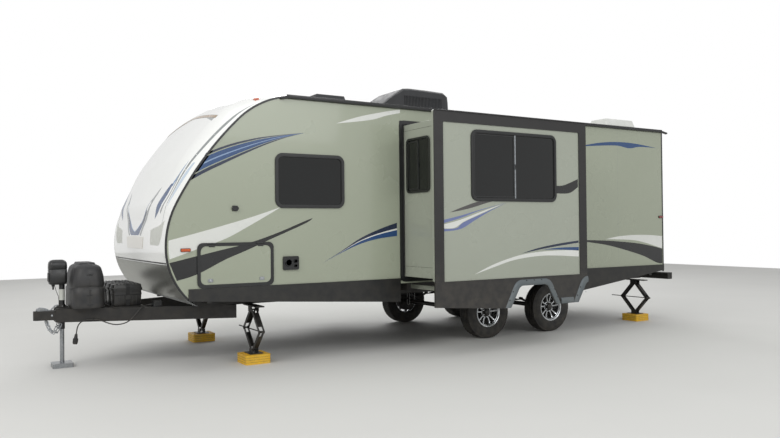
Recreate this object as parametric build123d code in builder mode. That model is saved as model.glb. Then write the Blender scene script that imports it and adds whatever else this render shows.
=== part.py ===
from build123d import *
import math
import os

# Travel caravan on a tandem axle, standing on its jack, wheels and stabilisers.
# Millimetres. +X runs rearward, -Y is the street side with the slide-out room,
# +Z is up. The origin is the middle of the tongue jack's foot, on the ground.

os.makedirs("parts", exist_ok=True)

# Body shell
body_half_width = 1219
wall_thickness = 45
shell_thickness = 30
roof_edge_z = 2870
roof_crown = 90
rear_wall_x = 8180
floor_top_z = 845
floor_thickness = 60
fit_gap = 0.3

# Front profile, as tangent arcs from the nose up to the roof
nose_x = 764
nose_z = 1264
lip_radius = 748
lip_z = 736
brow_radius = 955
brow_turn = 27.3
slope_radius = 3535
slope_turn = 17.8
guard_top_z = 1090

# Skirt below the walls, with its taper towards both ends
skirt_thickness = 12
skirt_low_z = 545
skirt_low_x = 3900
skirt_front_z = 725
skirt_rear_z = 763
skirt_rear_low_x = 6450

# Chassis
rail_offset = 765
rail_width = 50
rail_height = 165
rail_front_x = 1180
crossmember_depth = 90
crossmember_width = 50
tongue_rail_width = 60
tongue_rail_height = 140
tongue_rail_end_x = 1634
tongue_rail_end_y = 800
tongue_apex_x = -200
tongue_rail_front_x = -70
tray_thickness = 8

# Wheels and axles
front_axle_x = 4920
axle_spacing = 1098
tyre_radius = 331.5
tyre_width = 205
tyre_outer_y = 1075
rim_radius = 178
wheel_disc_depth = 62
axle_tube_radius = 30
spring_width = 45
spring_span = 560
spring_rise = 110

# Slide-out room
slide_depth = 680
slide_front_x = 3490
slide_rear_x = 5826
slide_top_z = 2727
slide_skirt_z = 490
fascia_thickness = 35
fascia_lap = 50
slide_wall = 40
slide_box_top_z = 2632
slide_box_floor_z = 865
slide_box_inner_y = 1130
slide_gap = 8
slide_rail_xs = (slide_front_x + 310, slide_rear_x - 266)
slide_rail_size = 50
slide_rail_z = 725
slide_rail_gap = 0.5
slide_rail_in_y = 420
slide_guide_in_y = 360
slide_guide_out_y = 820
slide_hanger = 9
frame_lip = 8
frame_width = 55
corner_strip_width = 125
fascia_panel_low_z = 835

# Wheel arches
arch_half_low = 400
arch_half_high = 215
arch_top_z = 739
arch_band = 70
arch_fillet = 80
flare_thickness = 18

# Windows: frames stand proud of the wall, glass sits inside the frame
window_proud = 12
window_corner = 70
glass_thickness = 8

# Doors
door_gap = 6
leaf_thickness = 35
leaf_corner = 60
door_flange = 8
hinge_stand = 4.2
hinge_radius = 7
hinge_pin_radius = 4
hinge_clearance = 0.25
knuckle_half = 30
bracket_width = 14
strap_thickness = 4
strap_reach = 34

# Tongue jack
jack_tube_radius = 28.5
jack_leg_radius = 22
jack_foot_size = 200
jack_foot_height = 45
jack_tube_bottom_z = 400
jack_head_z = 871
jack_head_top_z = 1132

# Entry step
step_x_low = 3600
step_x_high = 4200
step_runner_z = 515
step_runner_width = 34
step_runner_height = 26
step_clearance = 0.5
step_guide_width = 46
step_guide_height = 38
step_guide_in_y = 720
step_guide_out_y = 960
step_out_y = body_half_width + 281
step_tread_depth = 250
step_tread_height = 30

# Safety chains: hole of the front eye, hole of the rear eye, drop between them
chain_wire = 8
link_length = 46
link_width = 30
chain_eye_radius = 12
chain_eye_depth = 15
chain_eye_thickness = 4
chain_pitch = link_length - 2 * chain_wire - 0.8
chain_runs = [
    ((-150, -42, 486), (-24, -84, 462), 104),
    ((-150, 42, 486), (-24, 84, 462), 104),
]
coupler_low_z = 505
coupler_height = 95

# Roof vent
vent_x = 3010
vent_y = -200
vent_half = 200
vent_hole = 340
skylight_x = 7750
skylight_y = -640
skylight_length = 640
skylight_half_y = 180
skylight_rise = 90

# Stabiliser jacks
jack_front_x = 1780
jack_rear_x = 7880
jack_side_y = 930
jack_arm_length = 300
jack_base_pin_z = 570
jack_base_pin_half = 22
jack_foot_pin_half = 22
jack_arm_end_radius = 18
jack_arm_outer = 30
jack_arm_inner = 24
jack_plate = 4
jack_pin_radius = 7
pin_clearance = 0.1
pad_size = 280
pad_height = 100
foot_plate = 8
foot_pin_rise = 26

# Worked out from the driving sizes
axle_z = tyre_radius
wheel_disc_y = tyre_outer_y - wheel_disc_depth
rear_axle_x = front_axle_x + axle_spacing
rail_top_z = floor_top_z - floor_thickness
rail_bottom_z = rail_top_z - rail_height
tray_top_z = rail_bottom_z + tray_thickness
floor_bottom_z = rail_top_z
street = -1
door_side = 1
slide_out_y = body_half_width + slide_depth
fascia_back_y = slide_out_y - fascia_thickness
jack_foot_pin_z = pad_height + fit_gap + foot_plate + foot_pin_rise
arm_rise = (jack_base_pin_z - jack_foot_pin_z) / 2
arm_reach = math.sqrt(jack_arm_length ** 2 - arm_rise ** 2)
trunnion_z = jack_base_pin_z - arm_rise
trunnion_half = jack_base_pin_half + arm_reach

step_runner_xs = (step_x_low + 60, step_x_high - 60)

pieces = {}


def side_plane(y):
    """Plane at this y whose sketches read as x, z and whose normal is -Y."""
    return Plane.XZ.offset(-y)


def profile_arcs(inset):
    """Centre, radius, start heading and turn of each arc, from the roof forward."""
    brow_heading = 90 - brow_turn
    slope_heading = brow_heading - slope_turn
    rise = math.radians(brow_heading)
    flat = math.radians(slope_heading)
    brow_centre = Vector(nose_x + brow_radius, nose_z)
    brow_end = brow_centre + Vector(-math.sin(rise), math.cos(rise)) * brow_radius
    slope_centre = brow_end + Vector(math.sin(rise), -math.cos(rise)) * slope_radius
    slope_end = slope_centre + Vector(-math.sin(flat), math.cos(flat)) * slope_radius
    roof_radius = (roof_edge_z - slope_end.Y) / (1 - math.cos(flat))
    roof_centre = slope_end + Vector(math.sin(flat), -math.cos(flat)) * roof_radius
    lip_centre = Vector(nose_x + lip_radius, nose_z)
    return [
        (roof_centre, roof_radius - inset, 0, slope_heading),
        (slope_centre, slope_radius - inset, slope_heading, slope_turn),
        (brow_centre, brow_radius - inset, brow_heading, brow_turn),
        (lip_centre, lip_radius - inset, 90, None),
    ]


def lip_turn(inset, low_z):
    """Angle by which the lowest arc runs on below the nose, down to low_z."""
    return math.degrees(math.asin((nose_z - low_z) / (lip_radius - inset)))


roof_start_x = profile_arcs(0)[0][0].X


def section_plane(centre, radius, heading):
    """Plane across the profile: local x is +Y and local y points out of the body."""
    turn = math.radians(heading)
    point = centre + Vector(-math.sin(turn), math.cos(turn)) * radius
    return Plane(
        origin=(point.X, 0, point.Y),
        x_dir=(0, 1, 0),
        z_dir=(math.cos(turn), 0, math.sin(turn)),
    )


def crowned_section(plane, half_width, inset, thickness):
    """Band that is crowned across the body, as thick as the shell."""
    with BuildSketch(plane) as section:
        with BuildLine():
            outer = ThreePointArc(
                (-half_width, -inset), (0, roof_crown - inset), (half_width, -inset)
            )
            inner = ThreePointArc(
                (-half_width, -inset - thickness),
                (0, roof_crown - inset - thickness),
                (half_width, -inset - thickness),
            )
            Line(outer @ 0, inner @ 0)
            Line(outer @ 1, inner @ 1)
        make_face()
    return section


def crowned_shell(arcs, half_width, inset, thickness):
    """Shell swept round the given arcs: centre, radius, start heading, turn."""
    with BuildPart() as shell:
        for centre, radius, heading, turn in arcs:
            section = crowned_section(
                section_plane(centre, radius, heading), half_width, inset, thickness
            )
            revolve(
                section.sketch,
                axis=Axis((centre.X, 0, centre.Y), (0, -1, 0)),
                revolution_arc=turn,
            )
    return shell


def cut_by_roof():
    """Takes the roof's crowned top, and all below it, out of the part that is open."""
    with BuildSketch(Plane.YZ) as under_roof:
        with BuildLine():
            crown = ThreePointArc(
                (-body_half_width, roof_edge_z + fit_gap),
                (0, roof_edge_z + roof_crown + fit_gap),
                (body_half_width, roof_edge_z + fit_gap),
            )
            Polyline(
                crown @ 1,
                (body_half_width, floor_top_z),
                (-body_half_width, floor_top_z),
                crown @ 0,
            )
        make_face()
    extrude(under_roof.sketch, amount=rear_wall_x, mode=Mode.SUBTRACT)


def round_rect(x_low, x_high, z_low, z_high, corner):
    """Rounded rectangle in the sketch that is open."""
    with Locations(((x_low + x_high) / 2, (z_low + z_high) / 2)):
        RectangleRounded(x_high - x_low, z_high - z_low, corner)


def arch_points(centre_x, grow):
    """Corners of a wheel arch's opening, grown outwards by grow."""
    low_z = slide_skirt_z - 60
    return [
        (centre_x - arch_half_low - grow, low_z),
        (centre_x - arch_half_high - grow * 0.8, arch_top_z + grow),
        (centre_x + arch_half_high + grow * 0.8, arch_top_z + grow),
        (centre_x + arch_half_low + grow, low_z),
    ]


def arch_face(centre_x, grow):
    """Wheel arch opening with rounded shoulders, grown outwards by grow."""
    with BuildSketch() as face:
        with BuildLine():
            outline = FilletPolyline(*arch_points(centre_x, grow), radius=arch_fillet + grow)
            Line(outline @ 0, outline @ 1)
        make_face()
    return face.sketch


def body_face(inset, low_z):
    """Side view of the body inside the shell."""
    rear_x = rear_wall_x - wall_thickness - fit_gap
    with BuildSketch() as face:
        with BuildLine():
            top = Line((rear_x, roof_edge_z - inset), (roof_start_x, roof_edge_z - inset))
            heading = Vector(-1, 0)
            end = top @ 1
            for _, radius, _, turn in profile_arcs(inset):
                swept = lip_turn(inset, low_z) if turn is None else turn
                stretch = JernArc(start=end, tangent=heading, radius=radius, arc_size=swept)
                end = stretch @ 1
                heading = stretch % 1
            bottom = Line(end, (rear_x, low_z))
            Line(bottom @ 1, top @ 0)
        make_face()
    return face.sketch


# Openings in the walls: x low, x high, z low, z high, corner radius
slide_hole = (
    slide_front_x + fascia_lap - slide_gap,
    slide_rear_x - fascia_lap + slide_gap,
    slide_box_floor_z - slide_gap,
    slide_box_top_z + slide_gap,
    12,
)
storage_hole = (1094, 1881, 860, 1288, leaf_corner)
street_windows = [(1934, 2728, 1673, 2227, window_corner)]
entry_hole = (3560, 4240, 865, 2600, leaf_corner)
door_windows = [
    (1934, 2728, 1673, 2227, window_corner),
    (4560, 5700, 1650, 2350, window_corner),
    (6600, 7250, 1750, 2270, window_corner),
]
rear_window = (-420, 420, 1750, 2250, window_corner)
slide_window = (4017, 5297, 1745, 2526, window_corner)
slide_side_window = (1300, 1760, 1842, 2453, 50)


def shrink(hole, gap):
    """The same opening with its edges moved in by gap."""
    x_low, x_high, z_low, z_high, corner = hole
    return (x_low + gap, x_high - gap, z_low + gap, z_high - gap, max(corner - gap, 1))


# Side walls
def side_wall(inner_y, holes):
    with BuildPart() as wall:
        with BuildSketch(side_plane(inner_y)):
            add(body_face(shell_thickness + fit_gap, floor_bottom_z))
        extrude(amount=wall_thickness)
        with BuildSketch(side_plane(inner_y)):
            for hole in holes:
                round_rect(*hole)
        extrude(amount=wall_thickness, mode=Mode.SUBTRACT)
    return wall


pieces["street_wall"] = side_wall(
    -body_half_width + wall_thickness, [slide_hole, storage_hole] + street_windows
)
pieces["door_wall"] = side_wall(
    body_half_width, [entry_hole, storage_hole] + door_windows
)

# Rear wall, between the side walls' outer faces
with BuildPart() as rear_wall:
    with BuildSketch(Plane.YZ.offset(rear_wall_x - wall_thickness)):
        with BuildLine():
            crown = ThreePointArc(
                (-body_half_width, roof_edge_z - shell_thickness - fit_gap),
                (0, roof_edge_z + roof_crown - shell_thickness - fit_gap),
                (body_half_width, roof_edge_z - shell_thickness - fit_gap),
            )
            Polyline(
                crown @ 1,
                (body_half_width, floor_bottom_z),
                (-body_half_width, floor_bottom_z),
                crown @ 0,
            )
        make_face()
    extrude(amount=wall_thickness)
    with BuildSketch(Plane.YZ.offset(rear_wall_x - wall_thickness)):
        round_rect(*rear_window)
    extrude(amount=wall_thickness, mode=Mode.SUBTRACT)
pieces["rear_wall"] = rear_wall

# Roof, crowned from side to side
with BuildPart() as roof_skin:
    roof_section = crowned_section(
        Plane(origin=(roof_start_x + fit_gap, 0, roof_edge_z), x_dir=(0, 1, 0), z_dir=(1, 0, 0)),
        body_half_width,
        0,
        shell_thickness,
    )
    extrude(roof_section.sketch, amount=rear_wall_x - roof_start_x - fit_gap)
    with BuildSketch(Plane.XY.offset(roof_edge_z - shell_thickness)):
        with Locations((vent_x, vent_y)):
            Rectangle(vent_hole, vent_hole)
    extrude(amount=roof_crown + 2 * shell_thickness, mode=Mode.SUBTRACT)
pieces["roof_skin"] = roof_skin

# Front cap down to the rock guard, then the guard down to the lip
cap_arcs = profile_arcs(0)
guard_turn = lip_turn(0, guard_top_z)
lip_centre, lip_arc_radius, lip_heading, _ = cap_arcs[3]
cap_arcs[3] = (lip_centre, lip_arc_radius, lip_heading + guard_turn, guard_turn)
upper_arcs = []
for centre, radius, heading, turn in cap_arcs[:3]:
    upper_arcs.append((centre, radius, heading, turn))
upper_arcs.append((lip_centre, lip_arc_radius, lip_heading, guard_turn))
front_cap = crowned_shell(upper_arcs, body_half_width, 0, shell_thickness)
pieces["front_cap"] = front_cap

guard_gap_turn = 0.03
rock_guard = crowned_shell(
    [
        (
            lip_centre,
            lip_arc_radius,
            lip_heading + guard_turn + guard_gap_turn,
            lip_turn(0, lip_z) - guard_turn - guard_gap_turn,
        )
    ],
    body_half_width,
    0,
    shell_thickness,
)
pieces["rock_guard"] = rock_guard

# Floor deck, and the storage bay behind the front compartment's doors
floor_front_x = profile_arcs(shell_thickness)[3][0].X - math.sqrt(
    (lip_radius - shell_thickness) ** 2 - (nose_z - floor_bottom_z) ** 2
) + 12
floor_half = body_half_width - wall_thickness - fit_gap
bay_deck_z = 1330
bay_rear_x = 1960
bay_panel = 18
bay_front_x = 900
with BuildPart() as floor_deck:
    with BuildSketch(Plane.XY.offset(floor_bottom_z)):
        round_rect(
            floor_front_x, rear_wall_x - wall_thickness - fit_gap, -floor_half, floor_half, 1
        )
    extrude(amount=floor_thickness)
    with BuildSketch(side_plane(floor_half)):
        with BuildLine():
            Polyline(
                (bay_front_x, bay_deck_z),
                (bay_rear_x, bay_deck_z),
                (bay_rear_x, floor_top_z),
                (bay_rear_x - bay_panel, floor_top_z),
                (bay_rear_x - bay_panel, bay_deck_z - bay_panel),
                (bay_front_x, bay_deck_z - bay_panel),
                close=True,
            )
        make_face()
    extrude(amount=2 * floor_half)
pieces["floor_deck"] = floor_deck


# Skirts: one on the door side, one on the street side in two stretches
def skirt_face(x_low, x_high, arches):
    """Skirt between two stations, tapering up at its ends, less the wheel arches."""
    top_z = floor_top_z

    def low_edge(x):
        if x < skirt_low_x:
            share = (skirt_low_x - x) / (skirt_low_x - lip_rear_x)
            return skirt_low_z + share * (skirt_front_z - skirt_low_z)
        if x > skirt_rear_low_x:
            share = (x - skirt_rear_low_x) / (rear_wall_x - skirt_rear_low_x)
            return skirt_low_z + share * (skirt_rear_z - skirt_low_z)
        return skirt_low_z

    stations = [x_low, x_high]
    for x in (skirt_low_x, skirt_rear_low_x):
        if x_low < x < x_high:
            stations.append(x)
    corners = [(x_low, top_z)]
    for x in sorted(stations):
        corners.append((x, low_edge(x)))
    corners.append((x_high, top_z))
    with BuildSketch() as face:
        with BuildLine():
            Polyline(*corners, close=True)
        make_face()
        for centre_x in arches:
            add(arch_face(centre_x, 0), mode=Mode.SUBTRACT)
    return face.sketch


lip_rear_x = nose_x + lip_radius - math.sqrt(lip_radius ** 2 - (nose_z - lip_z) ** 2) + 12
axle_stations = (front_axle_x, rear_axle_x)
with BuildPart() as body_skirt:
    with BuildSketch(side_plane(body_half_width + skirt_thickness + fit_gap)):
        add(skirt_face(lip_rear_x, rear_wall_x, axle_stations))
    extrude(amount=skirt_thickness)
    with BuildSketch(side_plane(-body_half_width - fit_gap)):
        add(skirt_face(lip_rear_x, slide_hole[0] - frame_width - 2, ()))
        add(skirt_face(slide_hole[1] + frame_width + 2, rear_wall_x, (rear_axle_x,)))
    extrude(amount=skirt_thickness)
pieces["body_skirt"] = body_skirt


# Chassis: main rails, crossmembers, outriggers and the tongue's A-frame, each member
# a solid of its own with a weld's gap to the next
crossmember_xs = (1205, 1780, 2700, 3600, 4300, 5469, 6600, 7250, 7880, 8100)
outrigger_xs = (1205, 1780, 2700, 3600, 6600, 7250, 7880)
jack_xs = (jack_front_x, jack_rear_x)
rail_inner_y = rail_offset - rail_width / 2
rail_outer_y = rail_offset + rail_width / 2
slide_guide_bore = slide_rail_size + 2 * slide_rail_gap
slide_guide_size = slide_guide_bore + 8
slide_rail_places = [(x, slide_rail_z) for x in slide_rail_xs]
with BuildPart() as chassis_frame:
    with BuildSketch(Plane.XY.offset(rail_bottom_z)):
        for side in (street, door_side):
            with Locations(((rail_front_x + rear_wall_x) / 2, side * rail_offset)):
                Rectangle(rear_wall_x - rail_front_x, rail_width)
    extrude(amount=rail_height)
    # Holes in the street rail for the slide-out room's guides
    with BuildSketch(side_plane(-slide_guide_in_y)):
        with Locations(*slide_rail_places):
            Rectangle(slide_guide_size + 2 * fit_gap, slide_guide_size + 2 * fit_gap)
    extrude(amount=slide_guide_out_y - slide_guide_in_y, mode=Mode.SUBTRACT)
    with BuildSketch(side_plane(-slide_guide_in_y)):
        with Locations(*slide_rail_places):
            Rectangle(slide_guide_size, slide_guide_size)
            Rectangle(slide_guide_bore, slide_guide_bore, mode=Mode.SUBTRACT)
    extrude(amount=slide_guide_out_y - slide_guide_in_y)
    with BuildSketch(Plane.XY.offset(rail_top_z - crossmember_depth)):
        for x in crossmember_xs:
            with Locations((x, 0)):
                Rectangle(crossmember_width, 2 * rail_inner_y - 2 * fit_gap)
        for x in outrigger_xs:
            for side in (street, door_side):
                with Locations((x, side * (rail_outer_y + body_half_width) / 2)):
                    Rectangle(crossmember_width, body_half_width - rail_outer_y - 2 * fit_gap)
    extrude(amount=crossmember_depth)
    with BuildSketch(Plane.XY.offset(rail_bottom_z - tongue_rail_height)):
        for side in (street, door_side):
            with BuildLine():
                run = Vector(tongue_rail_end_x - tongue_apex_x, side * tongue_rail_end_y)
                across = Vector(-run.Y, run.X).normalized() * tongue_rail_width / 2
                apex = Vector(tongue_apex_x, 0)
                end = apex + run
                Polyline(apex + across, end + across, end - across, apex - across, close=True)
            make_face()
        with Locations((tongue_rail_front_x - 500, 0)):
            Rectangle(1000, 1000, mode=Mode.SUBTRACT)
    extrude(amount=tongue_rail_height - fit_gap)
    # Jack plate and the tray plates on the A-frame's rails
    for x_low, x_high, half in ((-60, 70, 110), (95, 380, 205), (450, 770, 350)):
        with BuildSketch(Plane.XY.offset(rail_bottom_z)):
            with Locations(((x_low + x_high) / 2, 0)):
                Rectangle(x_high - x_low, 2 * half)
        extrude(amount=tray_thickness)
    with BuildSketch(Plane.XY.offset(rail_bottom_z - tongue_rail_height)):
        Circle(jack_tube_radius + fit_gap)
    extrude(amount=tongue_rail_height + tray_thickness, mode=Mode.SUBTRACT)
    # Guide tubes of the entry step, hung from the rail and from the floor
    for x in step_runner_xs:
        with BuildSketch(side_plane(step_guide_out_y)):
            with Locations((x, step_runner_z)):
                Rectangle(step_guide_width, step_guide_height)
                Rectangle(
                    step_runner_width + 2 * step_clearance,
                    step_runner_height + 2 * step_clearance,
                    mode=Mode.SUBTRACT,
                )
        extrude(amount=step_guide_out_y - step_guide_in_y)
        for y, top_z in (
            (rail_offset, rail_bottom_z - fit_gap),
            (step_guide_out_y - 40, floor_bottom_z),
        ):
            low_z = step_runner_z + step_guide_height / 2
            with BuildSketch(Plane.XY.offset(low_z)):
                with Locations((x, y)):
                    Rectangle(step_guide_width, 20)
            extrude(amount=top_z - low_z)
    # Eyes that the safety chains hang from
    for start, end, _ in chain_runs:
        tongue_bottom_z = rail_bottom_z - tongue_rail_height
        for eye, top_z in ((start, coupler_low_z), (end, tongue_bottom_z - fit_gap)):
            with BuildSketch(Plane.YZ.offset(eye[0] - chain_eye_thickness / 2)):
                with Locations((eye[1], (eye[2] - chain_eye_depth + top_z) / 2)):
                    Rectangle(34, top_z - eye[2] + chain_eye_depth)
                with Locations((eye[1], eye[2])):
                    Circle(chain_eye_radius, mode=Mode.SUBTRACT)
            extrude(amount=chain_eye_thickness)
    # Stabiliser brackets: channel under the rail, two cheeks and two pins each
    for x in jack_xs:
        for side in (street, door_side):
            with BuildSketch(Plane.XY.offset(rail_bottom_z - 14)):
                with Locations((x, side * jack_side_y)):
                    Rectangle(92, 400)
            extrude(amount=14 - fit_gap)
            with BuildSketch(Plane.XY.offset(jack_base_pin_z - 20)):
                for end in (-1, 1):
                    with Locations((x + end * 38, side * jack_side_y)):
                        Rectangle(6, 110)
            extrude(amount=rail_bottom_z - 14 - jack_base_pin_z + 20)
            with BuildSketch(Plane.YZ.offset(x - 41)):
                for half in (-1, 1):
                    with Locations((side * jack_side_y + half * jack_base_pin_half, jack_base_pin_z)):
                        Circle(jack_pin_radius)
            extrude(amount=82)
pieces["chassis_frame"] = chassis_frame

# Coupler: a housing with the ball socket, the latch and its lever
socket_radius = 29.6
coupler_ball_x = -225
coupler_rear_x = tongue_rail_front_x - fit_gap
with BuildPart() as ball_coupler:
    with BuildSketch(Plane.XY.offset(coupler_low_z)):
        with BuildLine():
            nose = CenterArc((coupler_ball_x, 0), 52, 90, 180)
            Polyline(nose @ 1, (coupler_rear_x, -82), (coupler_rear_x, 82), nose @ 0)
        make_face()
    extrude(amount=coupler_height)
    with BuildSketch(Plane.XY.offset(coupler_low_z)):
        with Locations((coupler_ball_x, 0)):
            Circle(socket_radius)
    extrude(amount=62, mode=Mode.SUBTRACT)
    with BuildSketch(side_plane(14)):
        with BuildLine():
            Polyline(
                (-235, 600), (-120, 600), (-150, 618), (-205, 632), (-240, 622), close=True
            )
        make_face()
    extrude(amount=28)
pieces["ball_coupler"] = ball_coupler

# Axles, leaf springs, equalisers and brake drums
drum_radius = 145
drum_inner_y = 880
drum_outer_y = 945
hub_radius = 62
spring_eye_z = axle_z + spring_rise
with BuildPart() as axle_set:
    for x in axle_stations:
        with BuildSketch(side_plane(drum_inner_y)):
            with Locations((x, axle_z)):
                Circle(axle_tube_radius)
        extrude(amount=2 * drum_inner_y)
        for side in (street, door_side):
            # Brake drum inside the wheel's barrel, and the hub up to its disc
            for radius, near_y, far_y in (
                (drum_radius, drum_inner_y, drum_outer_y),
                (hub_radius, drum_outer_y, wheel_disc_y - fit_gap),
            ):
                with BuildSketch(side_plane(max(side * near_y, side * far_y))):
                    with Locations((x, axle_z)):
                        Circle(radius)
                extrude(amount=far_y - near_y)
            # Spring: an arched leaf pack over the axle, eyes at its ends
            with BuildSketch(side_plane(side * rail_offset + spring_width / 2)):
                with BuildLine():
                    over = ThreePointArc(
                        (x - spring_span / 2, spring_eye_z + 10),
                        (x, axle_z + axle_tube_radius + 28),
                        (x + spring_span / 2, spring_eye_z + 10),
                    )
                    under = ThreePointArc(
                        (x - spring_span / 2, spring_eye_z - 10),
                        (x, axle_z + axle_tube_radius - 2),
                        (x + spring_span / 2, spring_eye_z - 10),
                    )
                    Line(over @ 0, under @ 0)
                    Line(over @ 1, under @ 1)
                make_face()
                with Locations(
                    (x - spring_span / 2, spring_eye_z), (x + spring_span / 2, spring_eye_z)
                ):
                    Circle(20)
            extrude(amount=spring_width)
    # Hangers up to the rails, and the equaliser between the two springs
    middle_x = (front_axle_x + rear_axle_x) / 2
    hanger_xs = (
        front_axle_x - spring_span / 2,
        middle_x,
        rear_axle_x + spring_span / 2,
    )
    for side in (street, door_side):
        with BuildSketch(side_plane(side * rail_offset + spring_width / 2)):
            for x in hanger_xs:
                with Locations((x, (spring_eye_z + rail_bottom_z) / 2 + 5)):
                    Rectangle(60, rail_bottom_z - spring_eye_z - fit_gap + 30)
            with BuildLine():
                Polyline(
                    (front_axle_x + spring_span / 2, spring_eye_z - 16),
                    (rear_axle_x - spring_span / 2, spring_eye_z - 16),
                    (middle_x, spring_eye_z + 45),
                    close=True,
                )
            make_face()
        extrude(amount=spring_width)
    with BuildSketch(Plane.XY.offset(rail_bottom_z - fit_gap)):
        Rectangle(4 * rear_wall_x, 4 * body_half_width)
    extrude(amount=100, mode=Mode.SUBTRACT)
pieces["axle_set"] = axle_set


# Wheels: a grooved tyre and a spoked alloy wheel each
groove_depth = 8
groove_width = 9
spoke_count = 5
wheel_places = []
for label, side in (("street", street), ("door", door_side)):
    for place, x in (("front", front_axle_x), ("rear", rear_axle_x)):
        wheel_places.append((label + "_" + place, x, side))


def tyre_profile():
    """Half section of the tyre: local x is the radius, local y runs along the axle."""
    half = tyre_width / 2
    tread = tyre_radius
    corners = [
        (rim_radius, -half * 0.72),
        (rim_radius + 18, -half * 0.86),
        (rim_radius + 75, -half),
        (tread - 32, -half * 0.93),
        (tread - 6, -half * 0.80),
    ]
    for groove in (-44, 0, 44):
        corners.append((tread, groove - groove_width / 2))
        corners.append((tread - groove_depth, groove - groove_width / 2))
        corners.append((tread - groove_depth, groove + groove_width / 2))
        corners.append((tread, groove + groove_width / 2))
    mirrored = [(x, -y) for x, y in reversed(corners[:5])]
    with BuildSketch() as face:
        with BuildLine():
            Polyline(*corners, *mirrored, close=True)
        make_face()
    return face.sketch


def wheel_plane(x, side):
    """Plane through the wheel's middle: local x is up, local y runs outboard."""
    middle_y = side * (tyre_outer_y - tyre_width / 2)
    return Plane(origin=(x, middle_y, axle_z), x_dir=(0, 0, 1), z_dir=(side, 0, 0))


for label, x, side in wheel_places:
    plane = wheel_plane(x, side)
    hub_axis = Axis((x, 0, axle_z), (0, 1, 0))
    with BuildPart() as tyre:
        with BuildSketch(plane):
            add(tyre_profile())
        revolve(axis=hub_axis)
    pieces["tyre_" + label] = tyre
    face_y = tyre_width / 2
    with BuildPart() as wheel:
        # Rim barrel
        with BuildSketch(plane):
            with BuildLine():
                Polyline(
                    (rim_radius - fit_gap, -face_y * 0.72),
                    (rim_radius - fit_gap, face_y * 0.72),
                    (rim_radius + 8, face_y * 0.80),
                    (rim_radius + 6, face_y * 0.86),
                    (rim_radius - 10, face_y * 0.80),
                    (rim_radius - 14, -face_y * 0.72),
                    close=True,
                )
            make_face()
        revolve(axis=hub_axis)
        # Hub, centre cap and spokes
        disc_plane = Plane(
            origin=(x, side * wheel_disc_y, axle_z), x_dir=(1, 0, 0), z_dir=(0, side, 0)
        )
        with BuildSketch(disc_plane):
            Circle(hub_radius + 18)
            with PolarLocations(0, spoke_count, start_angle=90):
                for lean in (-1, 1):
                    with BuildLine():
                        Polyline(
                            (40, lean * 26),
                            (rim_radius, lean * 62),
                            (rim_radius, lean * 34),
                            (40, lean * 4),
                            close=True,
                        )
                    make_face()
            Circle(rim_radius - 6, mode=Mode.INTERSECT)
        extrude(amount=34)
        with BuildSketch(disc_plane.offset(34)):
            Circle(34)
        extrude(amount=20, taper=12)
    pieces["wheel_" + label] = wheel

# Rear bumper: square tube with caps, on two brackets
bumper_size = 100
bumper_x = 8370
with BuildPart() as rear_bumper:
    with BuildSketch(side_plane(1140)):
        with Locations((bumper_x + bumper_size / 2, 660)):
            RectangleRounded(bumper_size, bumper_size, 10)
            RectangleRounded(bumper_size - 8, bumper_size - 8, 6, mode=Mode.SUBTRACT)
    extrude(amount=2280)
    for end in (-1140, 1140 + 6):
        with BuildSketch(side_plane(end)):
            with Locations((bumper_x + bumper_size / 2, 660)):
                RectangleRounded(bumper_size, bumper_size, 10)
        extrude(amount=6)
    with BuildSketch(Plane.XY.offset(650)):
        for side in (street, door_side):
            with Locations(((rear_wall_x + fit_gap + bumper_x) / 2, side * rail_offset)):
                Rectangle(bumper_x - rear_wall_x - fit_gap, rail_width)
    extrude(amount=50)
pieces["rear_bumper"] = rear_bumper


# Windows: one frame node and one glass node for the fixed ones
def framed_holes(holes, plane_at, proud):
    """Frames round the given holes, standing proud of the wall and lining it."""
    for hole in holes:
        for outer_gap, depth in ((-16, proud), (fit_gap, -wall_thickness)):
            with BuildSketch(plane_at) as ring:
                round_rect(*shrink(hole, outer_gap))
                with BuildSketch(mode=Mode.SUBTRACT):
                    round_rect(*shrink(hole, 20))
            extrude(ring.sketch, amount=depth)


street_face = Plane.XZ.offset(body_half_width + fit_gap)
door_face = Plane(
    origin=(0, body_half_width + fit_gap, 0), x_dir=(-1, 0, 0), z_dir=(0, 1, 0)
)
rear_face = Plane.YZ.offset(rear_wall_x + fit_gap)


def mirrored(holes):
    """Holes as the door side's plane reads them, whose x runs forward."""
    return [(-x_high, -x_low, z_low, z_high, corner) for x_low, x_high, z_low, z_high, corner in holes]


with BuildPart() as window_frames:
    framed_holes(street_windows, street_face, window_proud)
    framed_holes(mirrored(door_windows), door_face, window_proud)
    framed_holes([rear_window], rear_face, window_proud)
    # Wiper frame round the slide-out room's opening
    with BuildSketch(street_face):
        round_rect(*shrink(slide_hole, -frame_width))
        with BuildSketch(mode=Mode.SUBTRACT):
            round_rect(*slide_hole)
    extrude(amount=frame_lip)
pieces["window_frames"] = window_frames

with BuildPart() as window_glass:
    for holes, plane in (
        (street_windows, street_face),
        (mirrored(door_windows), door_face),
        ([rear_window], rear_face),
    ):
        with BuildSketch(plane.offset(-glass_thickness)):
            for hole in holes:
                round_rect(*shrink(hole, 20 + fit_gap))
        extrude(amount=glass_thickness)
pieces["window_glass"] = window_glass

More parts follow.
